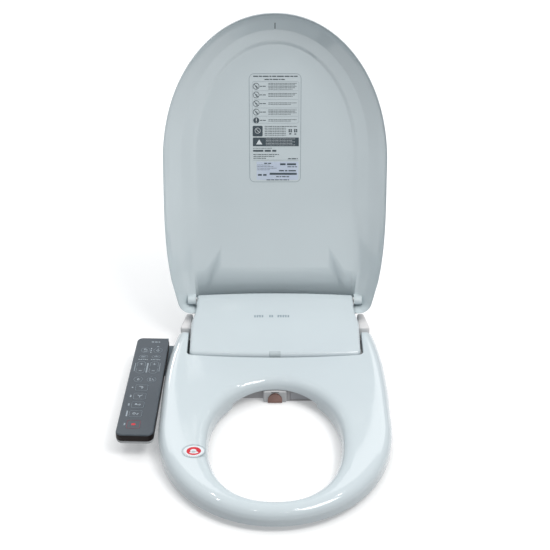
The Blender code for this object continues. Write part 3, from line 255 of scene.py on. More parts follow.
def pillow(name, look, edges, top, bottom, step=3 * MM, lip=0.0, extra=()):
    """A moulding seen from above: a smooth top that rolls down at its edges, with upright sides.

    Each edge is (outline, roll across, roll down), and may add (sides, across, down) for chosen sides
    that roll differently. The first edge is the outside, and the others are holes.
    """
    outlines = [resampled(edge[0], step) for edge in edges]
    rolls = []
    for edge, outline in zip(edges, outlines):
        chosen = edge[3] if len(edge) > 3 else None
        rest = (lambda x, y, chosen=chosen: not chosen(x, y)) if chosen else None
        rolls.append((outline, rest, edge[1], edge[2]))
        if chosen:
            rolls.append((outline, chosen, edge[4], edge[5]))
    points, sides = [], []
    for outline in outlines:
        base = len(points)
        points += outline
        sides += [(base + i, base + (i + 1) % len(outline)) for i in range(len(outline))]
    inner = []
    for outline, _, across, _ in rolls:
        outward = 1 if outline is outlines[0] else -1
        for turn in (18, 32, 46, 60, 75, 90):
            if across:
                away = across * (1 - math.cos(math.radians(turn)))
                row = np.array(inset(outline, away * outward))
                inner.append(row[distances(row, outline) > 0.97 * away])
    low, high = np.min(outlines[0], axis=0), np.max(outlines[0], axis=0)
    rows = [np.array([(x + (step / 2 if n % 2 else 0), y) for x in np.arange(low[0], high[0], step)])
            for n, y in enumerate(np.arange(low[1], high[1], step * 0.87))]
    grid = np.concatenate(rows)
    for edge, outline in zip(edges, outlines):
        grid = grid[distances(grid, outline) > edge[1] + 0.45 * step]
    inner = np.concatenate(inner + [grid] + ([np.array(extra)] if len(extra) else []))
    keep = inside(inner, outlines[0])
    for outline in outlines[1:]:
        keep &= ~inside(inner, outline)
    for outline in outlines:
        keep &= distances(inner, outline) > 0.02 * MM
    points += [tuple(p) for p in inner[keep]]
    result = delaunay_2d_cdt([Vector(p) for p in points], sides, [], 0, 1e-7)
    flat = np.array([tuple(p) for p in result[0]])
    middles = np.array([flat[list(face)].mean(0) for face in result[2]])
    wanted = inside(middles, outlines[0])
    for outline in outlines[1:]:
        wanted &= ~inside(middles, outline)

    heights = np.array([top(x, y) for x, y in flat], float)
    for outline, chosen, across, down in rolls:
        if across:
            share = np.clip(1 - distances(flat, outline, chosen) / across, 0, 1)
            heights -= down * (1 - np.sqrt(1 - share ** 2))
    builder = bmesh.new()
    made = [builder.verts.new((x, y, z)) for (x, y), z in zip(flat, heights)]
    for face, use in zip(result[2], wanted):
        if use:
            builder.faces.new([made[i] for i in face])
    count = 0
    for outline in outlines:
        upper = made[count:count + len(outline)]
        count += len(outline)
        folds = [(0, 0)]
        if lip:
            inward = 1 if outline is outlines[0] else -1
            folds += [(lip * inward, 0), (lip * inward, 5 * MM)]
        for shift, rise in folds:
            path = inset(outline, shift) if shift else outline
            lower = [builder.verts.new((x, y, min(bottom(x, y) + rise, upper[i].co.z)))
                     for i, (x, y) in enumerate(path)]
            for i in range(len(upper)):
                j = (i + 1) % len(upper)
                builder.faces.new((upper[i], upper[j], lower[j], lower[i]))
            upper = lower
        if not lip and len(outlines) == 1:
            builder.faces.new(upper)
    loose = [v for v in builder.verts if not v.link_faces]
    bmesh.ops.delete(builder, geom=loose, context="VERTS")
    return finished(builder, name, look)


def marks(name, look, shapes, height, thick=PRINT_THICK):
    """Thin printing: each shape is one outline, or an outline and the hole in it."""
    builder = bmesh.new()
    for shape in shapes:
        levels = []
        for lift in (0, thick):
            levels.append([[builder.verts.new((x, y, height(x, y) + lift)) for x, y in path]
                           for path in shape])
        for low, high in zip(*levels):
            for i in range(len(low)):
                j = (i + 1) % len(low)
                builder.faces.new((low[i], low[j], high[j], high[i]))
        for level in levels:
            if len(level) == 1:
                builder.faces.new(level[0])
                continue
            outer, hole = level
            for i in range(len(outer)):
                j = (i + 1) % len(outer)
                builder.faces.new((outer[i], outer[j], hole[j], hole[i]))
    return finished(builder, name, look, 30)


def ring(outline, width):
    """A band along the inside of an outline."""
    return [outline, inset(outline, width)]


def bar(x, y, width, height):
    return [rectangle((x - width / 2, x + width / 2), (y - height / 2, y + height / 2))]


def words(left, right, y, height, lengths=(5, 3, 6, 2, 4, 7)):
    """A line of word-like dashes, each a multiple of the bar's height."""
    dashes, x, n = [], left, 0
    while x < right - height:
        end = min(right, x + lengths[n % len(lengths)] * height)
        dashes.append([rectangle((x, end), (y - height / 2, y + height / 2))])
        x, n = end + 0.8 * height, n + 1
    return dashes


def stroke(start, end, width):
    """A straight line of some width."""
    ax, ay = unit(end[0] - start[0], end[1] - start[1])
    ox, oy = -ay * width / 2, ax * width / 2
    return [[(start[0] - ox, start[1] - oy), (end[0] - ox, end[1] - oy),
             (end[0] + ox, end[1] + oy), (start[0] + ox, start[1] + oy)]]


def scaled(shapes, factor=MM, shift=(0, 0)):
    return [[[(x * factor + shift[0], y * factor + shift[1]) for x, y in path] for path in shape]
            for shape in shapes]


def place(piece, body, pivot=None):
    """Puts a piece on its body, with its own origin at the pivot if it has one."""
    if pivot is not None:
        piece.matrix_world = pivot
    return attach(piece, body)


# ---------------------------------------------------------------- the CAD model

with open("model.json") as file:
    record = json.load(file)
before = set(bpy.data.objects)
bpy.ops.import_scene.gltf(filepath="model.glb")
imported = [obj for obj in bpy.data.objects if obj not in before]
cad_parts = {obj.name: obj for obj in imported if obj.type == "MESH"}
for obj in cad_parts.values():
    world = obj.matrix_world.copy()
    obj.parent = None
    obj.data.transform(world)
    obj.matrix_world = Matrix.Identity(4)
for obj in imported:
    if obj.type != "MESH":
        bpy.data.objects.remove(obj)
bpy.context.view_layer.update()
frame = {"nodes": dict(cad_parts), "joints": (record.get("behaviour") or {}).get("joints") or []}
JOINTS = {joint["name"]: Vector(joint["pos_m"]) for joint in frame["joints"] if "pos_m" in joint}

WHITE = material("gloss_white_abs", (0.615, 0.68, 0.705), 0.1, (0.6, 0.665, 0.695), bump=0.006, coat=0.5)
# The lid's white is the seat's white made lighter: painted light, standing in for light that falls on the
# lid.
LID_WHITE_PAINTED_LIGHT = material("gloss_white_abs_lid_painted_light", (0.645, 0.712, 0.735), 0.12, (0.63, 0.697, 0.72), bump=0.006,
                     coat=0.4)
SATIN = material("satin_white_abs", (0.62, 0.65, 0.66), 0.38, bump=0.06, grain=1200)
CASE_GREY = material("case_grey_abs", (0.47, 0.455, 0.46), 0.4, bump=0.07, grain=1200)
GREY = material("grey_abs", (0.47, 0.47, 0.49), 0.36, bump=0.07, grain=1200)
PALE_GREY = material("pale_grey_abs", (0.55, 0.555, 0.56), 0.4, bump=0.07, grain=1200)
FILM = material("slate_film", (0.055, 0.071, 0.088), 0.3, (0.046, 0.06, 0.076), bump=0.1, grain=1600)
# The panel's side band: partly its black plastic, partly painted shade on the panel's lower side.
SIDE_BLACK_AND_SHADE = material("black_abs_and_painted_shade", (0.008, 0.003, 0.003), 0.35, bump=0.02, specular=0.2)
ARM = material("slate_abs", (0.075, 0.115, 0.145), 0.3, bump=0.04)
BLOCK_GREY = material("warm_grey_abs", (0.74, 0.73, 0.73), 0.36, bump=0.05, grain=1200)
BLACK = material("black_plastic", (0.02, 0.018, 0.018), 0.42, (0.03, 0.027, 0.026), bump=0.12, grain=1200)
STEEL = material("brushed_steel", (0.56, 0.55, 0.54), 0.3, (0.47, 0.46, 0.45), patch=60, grain=900,
                 bump=0.15, metal=1.0, stretch=(1, 12, 12))
NOZZLE = material("nozzle_steel", (0.25, 0.155, 0.135), 0.3, (0.19, 0.115, 0.1), patch=40, bump=0.06,
                  metal=0.7)
TANK = material("tank_plastic", (0.58, 0.62, 0.62), 0.3, (0.5, 0.55, 0.56), patch=25, bump=0.05)
COPPER = tracked("copper_foil", (0.75, 0.4, 0.22), (0.25, 0.13, 0.07), 60, 1.0, 0.3)
BOARD = tracked("circuit_board", (0.02, 0.16, 0.07), (0.18, 0.4, 0.2), 220)
RUBBER = material("rubber", (0.27, 0.27, 0.28), 0.72, (0.22, 0.22, 0.23), patch=80, bump=0.3, grain=1500)
LENS = material("smoked_lens", (0.50, 0.56, 0.58), 0.1, (0.46, 0.52, 0.54), patch=120, bump=0.02, coat=0.5)
PRINT = material("label_print", (0.05, 0.07, 0.085), 0.5, (0.06, 0.085, 0.1), patch=300, bump=0.05)
PALE_PRINT = material("label_pale_print", (0.36, 0.42, 0.45), 0.5, (0.33, 0.39, 0.42), patch=300, bump=0.05)
CAPTION_PRINT = material("caption_print", (0.27, 0.34, 0.385), 0.5, (0.3, 0.37, 0.41), patch=300, bump=0.05)
KEY_PRINT = material("key_print", (0.42, 0.48, 0.53), 0.45, (0.36, 0.42, 0.47), patch=300, bump=0.05)
DIM_PRINT = material("outline_print", (0.24, 0.29, 0.33), 0.45, (0.2, 0.25, 0.29), patch=300, bump=0.05)
DIM_RED_PRINT = material("outline_red_print", (0.30, 0.03, 0.06), 0.4, (0.24, 0.02, 0.05), patch=300,
                         bump=0.05)
WHITE_PRINT = material("white_print", (0.78, 0.82, 0.84), 0.45, (0.72, 0.77, 0.8), patch=300, bump=0.05)
RED_PRINT = material("red_print", (0.68, 0.02, 0.035), 0.4, (0.58, 0.015, 0.03), patch=300, bump=0.05)
BLUE_TINT = material("label_tint", (0.60, 0.67, 0.78), 0.4, (0.57, 0.64, 0.76), patch=60, bump=0.03)

CAD_LOOKS = {
    SATIN: ("seat_bottom_shell",),
    CASE_GREY: ("lower_case",),
    PALE_GREY: ("panel_case", "mounting_plate", "nozzle_guide"),
    GREY: ("cord_gland", "release_button", "fan_impeller", "dryer_flap"),
    ARM: ("panel_arm",),
    BLACK: ("flow_diverter", "fan_housing", "dryer_duct", "deodoriser_filter", "drive_pinion", "lid_damper",
            "seat_damper"),
    STEEL: ("water_inlet", "water_heater", "fan_motor", "nozzle_motor", "lid_pin_left", "lid_pin_right",
            "seat_pin_left", "seat_pin_right"),
    NOZZLE: ("nozzle_barrel", "nozzle_tip"),
    TANK: ("water_tank",),
    COPPER: ("seat_heater",),
    BOARD: ("control_board", "power_board", "panel_board", "inlet_valve"),
    RUBBER: ("seat_buffer_front_left", "seat_buffer_front_right", "seat_buffer_rear_left",
             "seat_buffer_rear_right"),
}
for look, names in CAD_LOOKS.items():
    for name in names:
        mesh = frame["nodes"][name].data
        mesh.materials.clear()
        mesh.materials.append(look)


# ---------------------------------------------------------------- seat

SEAT_WIDTH = 380 * MM
SEAT_WIDEST = 267 * MM
SEAT_FRONT = -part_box("seat_top_shell")[0].y
SEAT_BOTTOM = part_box("seat_top_shell")[0].z
SEAT_AXIS = JOINTS["seat_hinge"]
KNUCKLE_R = 15.5 * MM
KNUCKLE_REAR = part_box("seat_top_shell")[1].y
NOTCH_HALF = 154.6 * MM
NOTCH_FRONT = -107 * MM
TUNNEL_HALF = 78 * MM               # room under the rear of the seat for the nozzle guide
GUIDE_SLOPE = math.radians(11)
OPENING_HALF = 107 * MM
OPENING_MIDDLE = -302 * MM


def seat_plane(y):
    """The height of the seat's top, which falls gently towards the front."""
    return 50 * MM + 12 * MM * y / SEAT_FRONT


def past_axis(y):
    """Share of the knuckle's radius behind the hinge axis."""
    return min(1, max(0, (y - SEAT_AXIS.y) / KNUCKLE_R))


def seat_top(x, y):
    round_end = SEAT_AXIS.z + (seat_plane(y) - SEAT_AXIS.z) * (1 - past_axis(y) ** 2.6) ** (1 / 2.6)
    return round_end if y > SEAT_AXIS.y else seat_plane(y)


def seat_bottom(x, y):
    drop = SEAT_AXIS.z - SEAT_BOTTOM
    if y > SEAT_AXIS.y:
        return SEAT_AXIS.z - drop * math.sqrt(1 - past_axis(y) ** 2)
    if abs(x) < TUNNEL_HALF and NOTCH_FRONT - 95 * MM < y:
        return 10.3 * MM + (y + 172 * MM) * math.tan(GUIDE_SLOPE) + 15 * MM
    return SEAT_BOTTOM


def bowed_front(half, middle, steps=24):
    """The bowed line along the housing's front, from right to left."""
    return [(x, middle + 8.5 * MM * (x / half) ** 2) for x in np.linspace(half, -half, steps + 1)]


def seat_piece():
    outer = oval(SEAT_WIDTH, SEAT_WIDEST, SEAT_FRONT, -SEAT_AXIS.y, 50, 70)
    rear = half_width(-SEAT_AXIS.y, SEAT_WIDTH, SEAT_WIDEST, SEAT_FRONT)
    end, wing = KNUCKLE_REAR - 0.2 * MM, rear - 3 * MM
    front = bowed_front(NOTCH_HALF, NOTCH_FRONT + 2.7 * MM)
    outline = outer + [(wing, end), (NOTCH_HALF, end)] + front + [(-NOTCH_HALF, end), (-wing, end)]
    first, last = len(outer), len(outer) + 1 + len(front)
    corners = {first: 8, first + 1: 2, first + 2: 10, last: 10, last + 1: 2, last + 2: 8}
    for index in sorted(corners, reverse=True):
        outline = fillet(outline, (index,), corners[index] * MM)

    def by_notch(x, y):
        return abs(x) < NOTCH_HALF + 1 * MM and y > NOTCH_FRONT - 1 * MM

    opening = []
    for i in range(160):
        angle = 2 * math.pi * i / 160
        across, ahead = math.cos(angle), -math.sin(angle)
        power, reach = (2.3, 142 * MM) if ahead > 0 else (2.05, 133 * MM)
        opening.append((OPENING_HALF * math.copysign(abs(across) ** (2 / power), across),
                        OPENING_MIDDLE - reach * math.copysign(abs(ahead) ** (2 / power), ahead)))
    return pillow("seat_cushion_shell", WHITE,
                  [(outline, 18 * MM, 16 * MM, by_notch, 2.5 * MM, 2.5 * MM), (opening, 19 * MM, 18 * MM)],
                  seat_top, seat_bottom, lip=3.2 * MM)


place(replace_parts(seat_piece(), "seat_top_shell"), "seat")

STICKER = (-127.5 * MM, -345 * MM)
sticker_ink = (
    ("seat_sticker_edge", PALE_PRINT, [ring(ellipse(38, 31), 0.9), ring(ellipse(34, 27.4), 0.5)]
     + [[ellipse(1.3, 1.3, (15 * math.cos(a), 12.1 * math.sin(a)), 8)] for a in np.arange(3.5, 5.95, 0.2)]),
    ("seat_sticker_ground", WHITE_PRINT, [[ellipse(33, 26.4)]]),
    ("seat_sticker_field", RED_PRINT, [[ellipse(23, 18.5, (0, 0.4))]]),
    ("seat_sticker_figure", WHITE_PRINT, [[ellipse(9.5, 8, (-0.6, 0.8))], [ellipse(14, 5, (0.4, -2.8))]]),
)
for level, (name, look, shapes) in enumerate(sticker_ink):
    lift = (3, 0, 1, 2)[level] * PRINT_THICK
    piece = marks(name, look, scaled(shapes, MM, STICKER),
                  lambda x, y, lift=lift: seat_plane(y) + 0.02 * MM + lift)
    place(piece, "seat")


# ---------------------------------------------------------------- housing

COVER_LOW, COVER_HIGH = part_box("rear_cover")
HOUSING_HALF = COVER_HIGH.x
NECK_HALF = HOUSING_HALF - 7.6 * MM
COVER_BASE = 24.3                   # in millimetres, as in the two curves below
crown = softened(((0, 50), (43, 60), (83, 70), (103, 76), (113, 80), (128, 85.5), (143, 87)), 4, -20, 163)
back = softened(((138, 88.5), (143, 86.5), (148, 69.6), (163, COVER_BASE)), 1.2, 130, 163)


def cover_top(x, y):
    ahead = (y - COVER_LOW.y) / MM
    height = min(float(crown(ahead)), float(back(ahead))) if ahead > 138 else float(crown(ahead))
    sag = 5 * (x / HOUSING_HALF) ** 2 * min(1, max(0, (height - 24) / 20))
    return (height - sag) * MM


def cover_piece():
    front, rear = COVER_LOW.y, COVER_HIGH.y
    bow = bowed_front(HOUSING_HALF, front + 2.2 * MM)[::-1]
    right = [(HOUSING_HALF, -20 * MM), (NECK_HALF, 8 * MM), (NECK_HALF, rear)]
    outline = bow + right + [(-x, y) for x, y in reversed(right)]
    last = len(bow) - 1
    for index, radius in ((last + 6, 20), (last + 5, 12), (last + 2, 12), (last + 1, 20), (last, 9), (0, 9)):
        outline = fillet(outline, (index,), radius * MM)
    extra = [(x, y) for y in np.arange(38 * MM, rear, 1.1 * MM)
             for x in np.arange(-NECK_HALF, NECK_HALF, 4 * MM)]
    return pillow("housing_cover", WHITE, [(outline, 5.5 * MM, 6 * MM)], cover_top,
                  lambda x, y: COVER_BASE * MM, extra=extra, lip=2.4 * MM)


place(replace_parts(cover_piece(), "rear_cover"), "housing")
caption = [bar(x, 0, 3, 5) for x in (-36, -31.5, -27, -22.5, -9, -5, 6, 10.5, 15, 19.5, 24)]
caption = scaled(caption + [bar(x, 1.4, 3.2, 0.7) for x in (-29, 8.5, 17)])
place(marks("housing_caption", CAPTION_PRINT, scaled(caption, 1, (0, -14 * MM)),
            lambda x, y: cover_top(x, y) + 0.02 * MM), "housing")

for name in ("hinge_block_left", "hinge_block_right"):
    low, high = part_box(name)
    outer = high.x if high.x > 0 else -low.x
    inner = low.x if low.x > 0 else -high.x
    outline = [(inner, low.y), (outer + 6 * MM, low.y), (outer - 3 * MM, high.y), (inner, high.y)]
    if low.x < 0:
        outline = [(-x, y) for x, y in reversed(outline)]
    outline = fillet(outline, range(4), 4 * MM)
    block = pillow(name + "_cap", BLOCK_GREY, [(outline, 4 * MM, 4 * MM)],
                   lambda x, y, z=high.z: z, lambda x, y, z=low.z: z, step=1.5 * MM)
    place(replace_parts(block, name), "housing")


def lens_piece():
    """A smoked tab that follows the rounded lip in the middle of the cover's front."""
    front, half = COVER_LOW.y + 2.2 * MM, 10 * MM
    turns = np.linspace(0, math.pi / 2, 10)
    top = cover_top(0, front + 6 * MM)
    lip = [(front + (5.5 - 5.8 * math.cos(a)) * MM, top - (6 - 6.35 * math.sin(a)) * MM) for a in turns]
    path = [(lip[0][0], lip[0][1] - 5 * MM)] + lip + [(lip[-1][0] + 1 * MM, lip[-1][1] + 0.1 * MM)]
    builder = bmesh.new()
    rows = []
    for x, sink in ((-half, 0.8), (-half + 0.6 * MM, 0), (half - 0.6 * MM, 0), (half, 0.8)):
        rows.append([builder.verts.new((x, y + sink * MM, z - sink * MM)) for y, z in path])
    for a, b in zip(rows, rows[1:]):
        for i in range(len(path) - 1):
            builder.faces.new((a[i], b[i], b[i + 1], a[i + 1]))
    return finished(builder, "indicator_tab", LENS)


place(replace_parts(lens_piece(), "indicator_lens"), "housing")

guide_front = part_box("nozzle_guide")[0].y
# A thin black plate on the guide's front stands for the nozzle's slot: painted shade where the opening is
# dark.
slot_shade_face = rectangle((-6.5 * MM, 6.5 * MM), (0, 1.6 * MM))
slot_shade_mark = marks("nozzle_slot_painted_shade", BLACK, [[slot_shade_face]], lambda x, y: 0)
tilt = Matrix.Translation((0, guide_front - 0.05 * MM, 21 * MM)) @ Matrix.Rotation(math.pi / 2, 4, "X")
place(slot_shade_mark, "housing", tilt)


def spray_shield():
    """The arched front face of the nozzle, just ahead of its guide."""
    radius, low, base = 12.2 * MM, 1.5 * MM, 7.5 * MM
    arch = [(radius * math.cos(a), base + radius * math.sin(a)) for a in np.linspace(0, math.pi, 28)]
    face = [(radius, low)] + arch + [(-radius, low)]
    builder = bmesh.new()
    back = [builder.verts.new((x, guide_front - 0.4 * MM, z)) for x, z in face]
    front = [builder.verts.new((x, guide_front - 2.2 * MM, z)) for x, z in face]
    builder.faces.new(back)
    builder.faces.new(front)
    for i, corner in enumerate(back):
        after = (i + 1) % len(back)
        builder.faces.new((corner, back[after], front[after], front[i]))
    return finished(builder, "nozzle_shield", NOZZLE)


place(spray_shield(), "nozzle")


# ---------------------------------------------------------------- lid

LID_AXIS = JOINTS["lid_hinge"]
LID_LEAN = math.radians(12.66)
LID_PIVOT = Matrix.Translation(LID_AXIS) @ Matrix.Rotation(-math.pi / 2 - LID_LEAN, 4, "X")
LID_WIDTH, LID_LENGTH, LID_WIDEST = 389.4 * MM, 518 * MM, 257.5 * MM
LID_REAR, RIM_DROP = 16 * MM, 22
LID_NOTCH = NECK_HALF + 0.8 * MM
INNER = ((1.5, -1.5), (3, 0.5), (10, 7.5), (30, 22), (50, 28.4), (56, 32.2), (80, 34.4), (94, 35), (130, 35))
OUTER = ((0, -1), (0.4, 6), (3, 13), (10, 19), (27, 26.5), (52, 34), (80, 37), (120, 38))
INNER_HIGH, OUTER_HIGH = INNER[-1][1], OUTER[-1][1]
inner_crisp = softened(INNER, 0.7, 1.5, 130)


def lid_outline(distance, base):
    """The lid in plan about its hinge axis, moved inwards, tighter towards the rear corners."""
    full, tight = inset(base, distance), inset(base, distance * 0.45)
    blended = []
    for (x, y), (fx, fy), (tx, ty) in zip(base, full, tight):
        share = min(1, max(0, (-y - 30 * MM) / (140 * MM)))
        blended.append((fx * share + tx * (1 - share), fy * share + ty * (1 - share)))
    count = len(blended)
    rear = LID_REAR - 0.12 * distance
    blended[-2:] = [(blended[-2][0], rear), (blended[-1][0], rear)]
    return fillet(blended, (count - 2, count - 1), max(2 * MM, 24 * MM - 0.4 * distance), 10)


def arched(height, y):
    """The rim arches a little at the sides, so that it passes over the panel when the lid is shut."""
    rise = 3.8 * math.exp(-((y / MM + 285) / 100) ** 2)
    return height + rise * min(1, max(0, 1 - height / 8))


def lid_piece():
    base = oval(LID_WIDTH, LID_WIDEST, LID_LENGTH, 45 * MM, 26, 54)
    corner = half_width(-LID_REAR, LID_WIDTH, LID_WIDEST, LID_LENGTH)
    base += [(corner, LID_REAR), (-corner, LID_REAR)]
    inner_soft = softened(INNER, 7, 1.5, 130)
    outside = softened(OUTER, 1.5, 0, 120)
    builder = bmesh.new()

    def add_row(distance, height):
        return [builder.verts.new((x, y, (arched(height(distance, y), y) - RIM_DROP) * MM))
                for x, y in lid_outline(distance * MM, base)]

    def inner_height(distance, y):
        sharpness = min(1, max(0, (-y / MM - 150) / 250))
        fade = min(1, max(0, (distance - 12) / 10))
        share = 1 - fade * (1 - sharpness)
        return float(inner_crisp(distance)) * share + float(inner_soft(distance)) * (1 - share)

    rim = [(0.05, 0.9), (0.35, 0.25), (0.9, 0), (1.6, 0), (2.3, 0.25), (2.9, 0.9)]
    rows = []
    for d in (120, 105, 92, 80, 70, 61, 52, 44, 36, 30, 25, 20, 16, 12.5, 9.5, 7, 5, 3.4, 2.2, 1.3, 0.7,
              0.3):
        rows.append(add_row(d, lambda at, y: float(outside(at))))
    for height in (5, 3.5, 2):
        rows.append(add_row(0, lambda at, y, h=height: h))
    for d, h in rim:
        rows.append(add_row(d, lambda at, y, h=h: h))
    steps = [3.2, 4, 5, 6.2, 8, 10, 12, 14.5, 17, 19.5, 22, 24, 26, 27.5, 28.6, 29.3, 30, 30.7, 31.4, 32.5,
             34, 36, 39, 42, 45, 48, 50, 51.8, 52.8, 53.4, 54, 54.6, 55.2, 56.4, 58, 61, 65, 70, 76, 83, 92,
             103, 118]
    for d in steps:
        rows.append(add_row(d, inner_height))
    for upper, lower in zip(rows, rows[1:]):
        for i in range(len(upper)):
            j = (i + 1) % len(upper)
            builder.faces.new((upper[i], upper[j], lower[j], lower[i]))
    for edge_row, height in ((rows[0], OUTER_HIGH), (rows[-1], INNER_HIGH)):
        middle = Vector((0, -250 * MM, 0))
        row = edge_row
        for share in (0.75, 0.5, 0.25):
            smaller = []
            for v in edge_row:
                point = middle + (v.co - middle) * share
                smaller.append(builder.verts.new((point.x, point.y, (height - RIM_DROP) * MM)))
            for i in range(len(row)):
                j = (i + 1) % len(row)
                builder.faces.new((row[i], row[j], smaller[j], smaller[i]))
            row = smaller
        builder.faces.new(row)
    # The dish takes the lid's lighter white, which holds painted light.
    lid = finished(builder, "lid_dish", LID_WHITE_PAINTED_LIGHT, 40)

    block = bmesh.new()
    bmesh.ops.create_cube(block, size=1)
    bmesh.ops.scale(block, vec=(2 * LID_NOTCH, 0.2, 0.3), verts=block.verts)
    bmesh.ops.translate(block, vec=(0, 0.1 - 4 * MM, 0), verts=block.verts)
    bmesh.ops.bevel(block, geom=[e for e in block.edges], offset=3 * MM, segments=3, affect="EDGES")
    cutter = finished(block, "notch_cutter", LID_WHITE_PAINTED_LIGHT)
    modifier = lid.modifiers.new("Notch", "BOOLEAN")
    modifier.operation = "DIFFERENCE"
    modifier.solver = "MANIFOLD"
    modifier.object = cutter
    bpy.context.view_layer.update()
    shape = lid.evaluated_get(bpy.context.evaluated_depsgraph_get())
    cut = bpy.data.meshes.new_from_object(shape)
    lid.modifiers.clear()
    lid.data = cut
    bpy.data.objects.remove(cutter, do_unlink=True)
    return lid


place(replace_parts(lid_piece(), "lid_shell"), "lid", LID_PIVOT)

for side, name in ((-1, "lid_knuckle_left"), (1, "lid_knuckle_right")):
    low_x, high_x = sorted((side * LID_NOTCH, side * (LID_NOTCH + 15 * MM)))
    radius = 7.5 * MM
    profile = [(-radius * math.cos(a), -radius * math.sin(a)) for a in np.linspace(0, math.pi, 24)]
    profile += [(radius, 12 * MM), (-radius, 12 * MM)]
    narrower = inset(profile[::-1], 1 * MM)[::-1]
    sections = ((low_x, narrower), (low_x + 1 * MM, profile), (high_x - 1 * MM, profile), (high_x, narrower))
    knuckle = bmesh.new()
    loops = [[knuckle.verts.new((x, y, z)) for y, z in section] for x, section in sections]
    for a, b in zip(loops, loops[1:]):
        for i in range(len(a)):
            knuckle.faces.new((a[i], a[(i + 1) % len(a)], b[(i + 1) % len(a)], b[i]))
    knuckle.faces.new(loops[0])
    knuckle.faces.new(loops[-1])
    place(finished(knuckle, name, LID_WHITE_PAINTED_LIGHT, 35), "lid", LID_PIVOT)


# The label, in millimetres from its upper left corner with the lid open; bars and signs stand for its text
LABEL_X, LABEL_TOP = -45, 412.1


def on_label(shapes):
    """Shapes of the label in the lid's own frame."""
    return [[[((x + LABEL_X) * MM, -(LABEL_TOP - y) * MM) for x, y in path] for path in shape]
            for shape in shapes]


def barred_ring(x, y, radius, width):
    """A ring with a slanted bar, as on a sign for something not allowed."""
    reach = radius * 0.68
    return [ring(ellipse(2 * radius, 2 * radius, (x, y)), width),
            stroke((x - reach, y - reach), (x + reach, y + reach), width)]


label_lines = [ring(rounded_rectangle(90.5, 192.7, 9, (45.2, 96.4)), 0.9)]
label_lines += [ring(rounded_rectangle(81, 73, 4, (46, 50.5)), 0.35)]
label_lines += [bar(47, y, 76, 0.35) for y in (30, 45, 60, 74.5)] + [bar(46.5, 152.8, 80, 0.6)]
label_ink = words(7.5, 84, 5, 1.7) + words(27, 64, 10.4, 1.5)
text_rows = ((22.2, 5), (37.2, 3), (52.3, 2), (67.2, 4), (81.8, 2))
for row, (y, lines) in enumerate(text_rows):
    if row < 4:
        label_ink += barred_ring(12.4, y, 5.6, 0.8)
        label_ink += [bar(12.4, y, 3.4, 1.3), [ellipse(2, 2, (13.6, y + 2.6), 12)]]
    for n in range(lines):
        width = 49 - 7 * (n == lines - 1) - 3 * (n % 2)
        label_ink += words(33.5, 33.5 + width, y - (lines - 1) * 1.25 + n * 2.5, 0.75, (4, 7, 3, 5, 2, 6))
    label_ink += words(19, 29, y, 1.2, (3, 5))
label_ink += [[ellipse(10.4, 10.4, (12.4, 81.8))]]
label_ink += [[rounded_rectangle(17.4, 18.6, 2, (14.7, 100.8))]]
for n in range(6):
    label_ink += words(27, 64 if n else 83, 92.5 + n * 3.1, 0.9, (5, 2, 6, 3, 4))
label_ink += [bar(x, y, 2.4, 2.4) for x in (70, 73.4, 79.4, 82.6) for y in (98.6, 101.6)]
label_ink += [bar(71.6, 105.6, 3.4, 2.2), bar(80.6, 106, 3.4, 1.6)]
label_ink += [bar(46.5, 120, 80.4, 15.4)]
label_ink += words(6.5, 40, 131.4, 0.7, (4, 2, 6)) + words(6.5, 52, 136, 3, (6, 3.6, 2.4))
for n, width in enumerate((45, 38, 22)):
    label_ink += words(7, 7 + width, 142.6 + n * 3.4, 1.1, (4, 2, 5, 3))
label_ink += words(68, 85, 150.2, 1.6, (3, 5))
tint = [[rounded_rectangle(74, 33, 1.5, (49.5, 172))]]
label_ink += words(26, 41, 158.6, 1.8, (3, 3)) + words(54, 84, 160.2, 3.2, (3, 5))
label_ink += words(67, 84, 164.8, 1.4)
for n in range(4):
    label_ink += words(13.5, 36 + 6 * (n % 3), 161.6 + n * 2.9, 0.6, (6, 3, 7, 2))
label_ink += words(52, 84, 172, 2.2, (4, 2, 6)) + [bar(59.5, 177.6, 48, 3.6)]
label_ink += words(47, 72, 182.8, 1.6, (3, 2, 4))
label_ink += words(15, 30, 179.6, 3, (2.2, 2)) + words(30, 70, 188.6, 1.4, (5, 4))
pale_ink = [bar(12.4, 80.8, 1.3, 4.6), [ellipse(1.5, 1.5, (12.4, 85), 12)]] + barred_ring(14.7, 100, 5, 0.7)
pale_ink += [[[(11.8, 124.6), (17.3, 115.6), (22.8, 124.6)]]]
for n in range(5):
    pale_ink += words(29, 80 - 4 * (n % 2), 114.6 + n * 2.7, 0.5, (6, 4, 8, 3))
label_height = (INNER_HIGH - RIM_DROP) * MM
label_layers = (
    ("lid_label_tint", BLUE_TINT, tint, 0.12),
    ("lid_label_rules", PALE_PRINT, label_lines, 0.2),
    ("lid_label_print", PRINT, label_ink, 0.28),
    ("lid_label_signs", WHITE_PRINT, pale_ink, 0.36),
)
for name, look, shapes, lift in label_layers:
    piece = marks(name, look, on_label(shapes),
                  lambda x, y, lift=lift: label_height - lift * MM)
    place(piece, "lid", LID_PIVOT)

# A thin dark bar on the rim stands for a slit: painted shade where the slit is.
slit_shade = marks("lid_slit_painted_shade", PRINT, scaled([bar(0, -495, 1.5, 11)]),
             lambda x, y: (inner_crisp((LID_LENGTH + y) / MM) - RIM_DROP) * MM - 0.15 * MM)
place(slit_shade, "lid", LID_PIVOT)


# ---------------------------------------------------------------- side panel

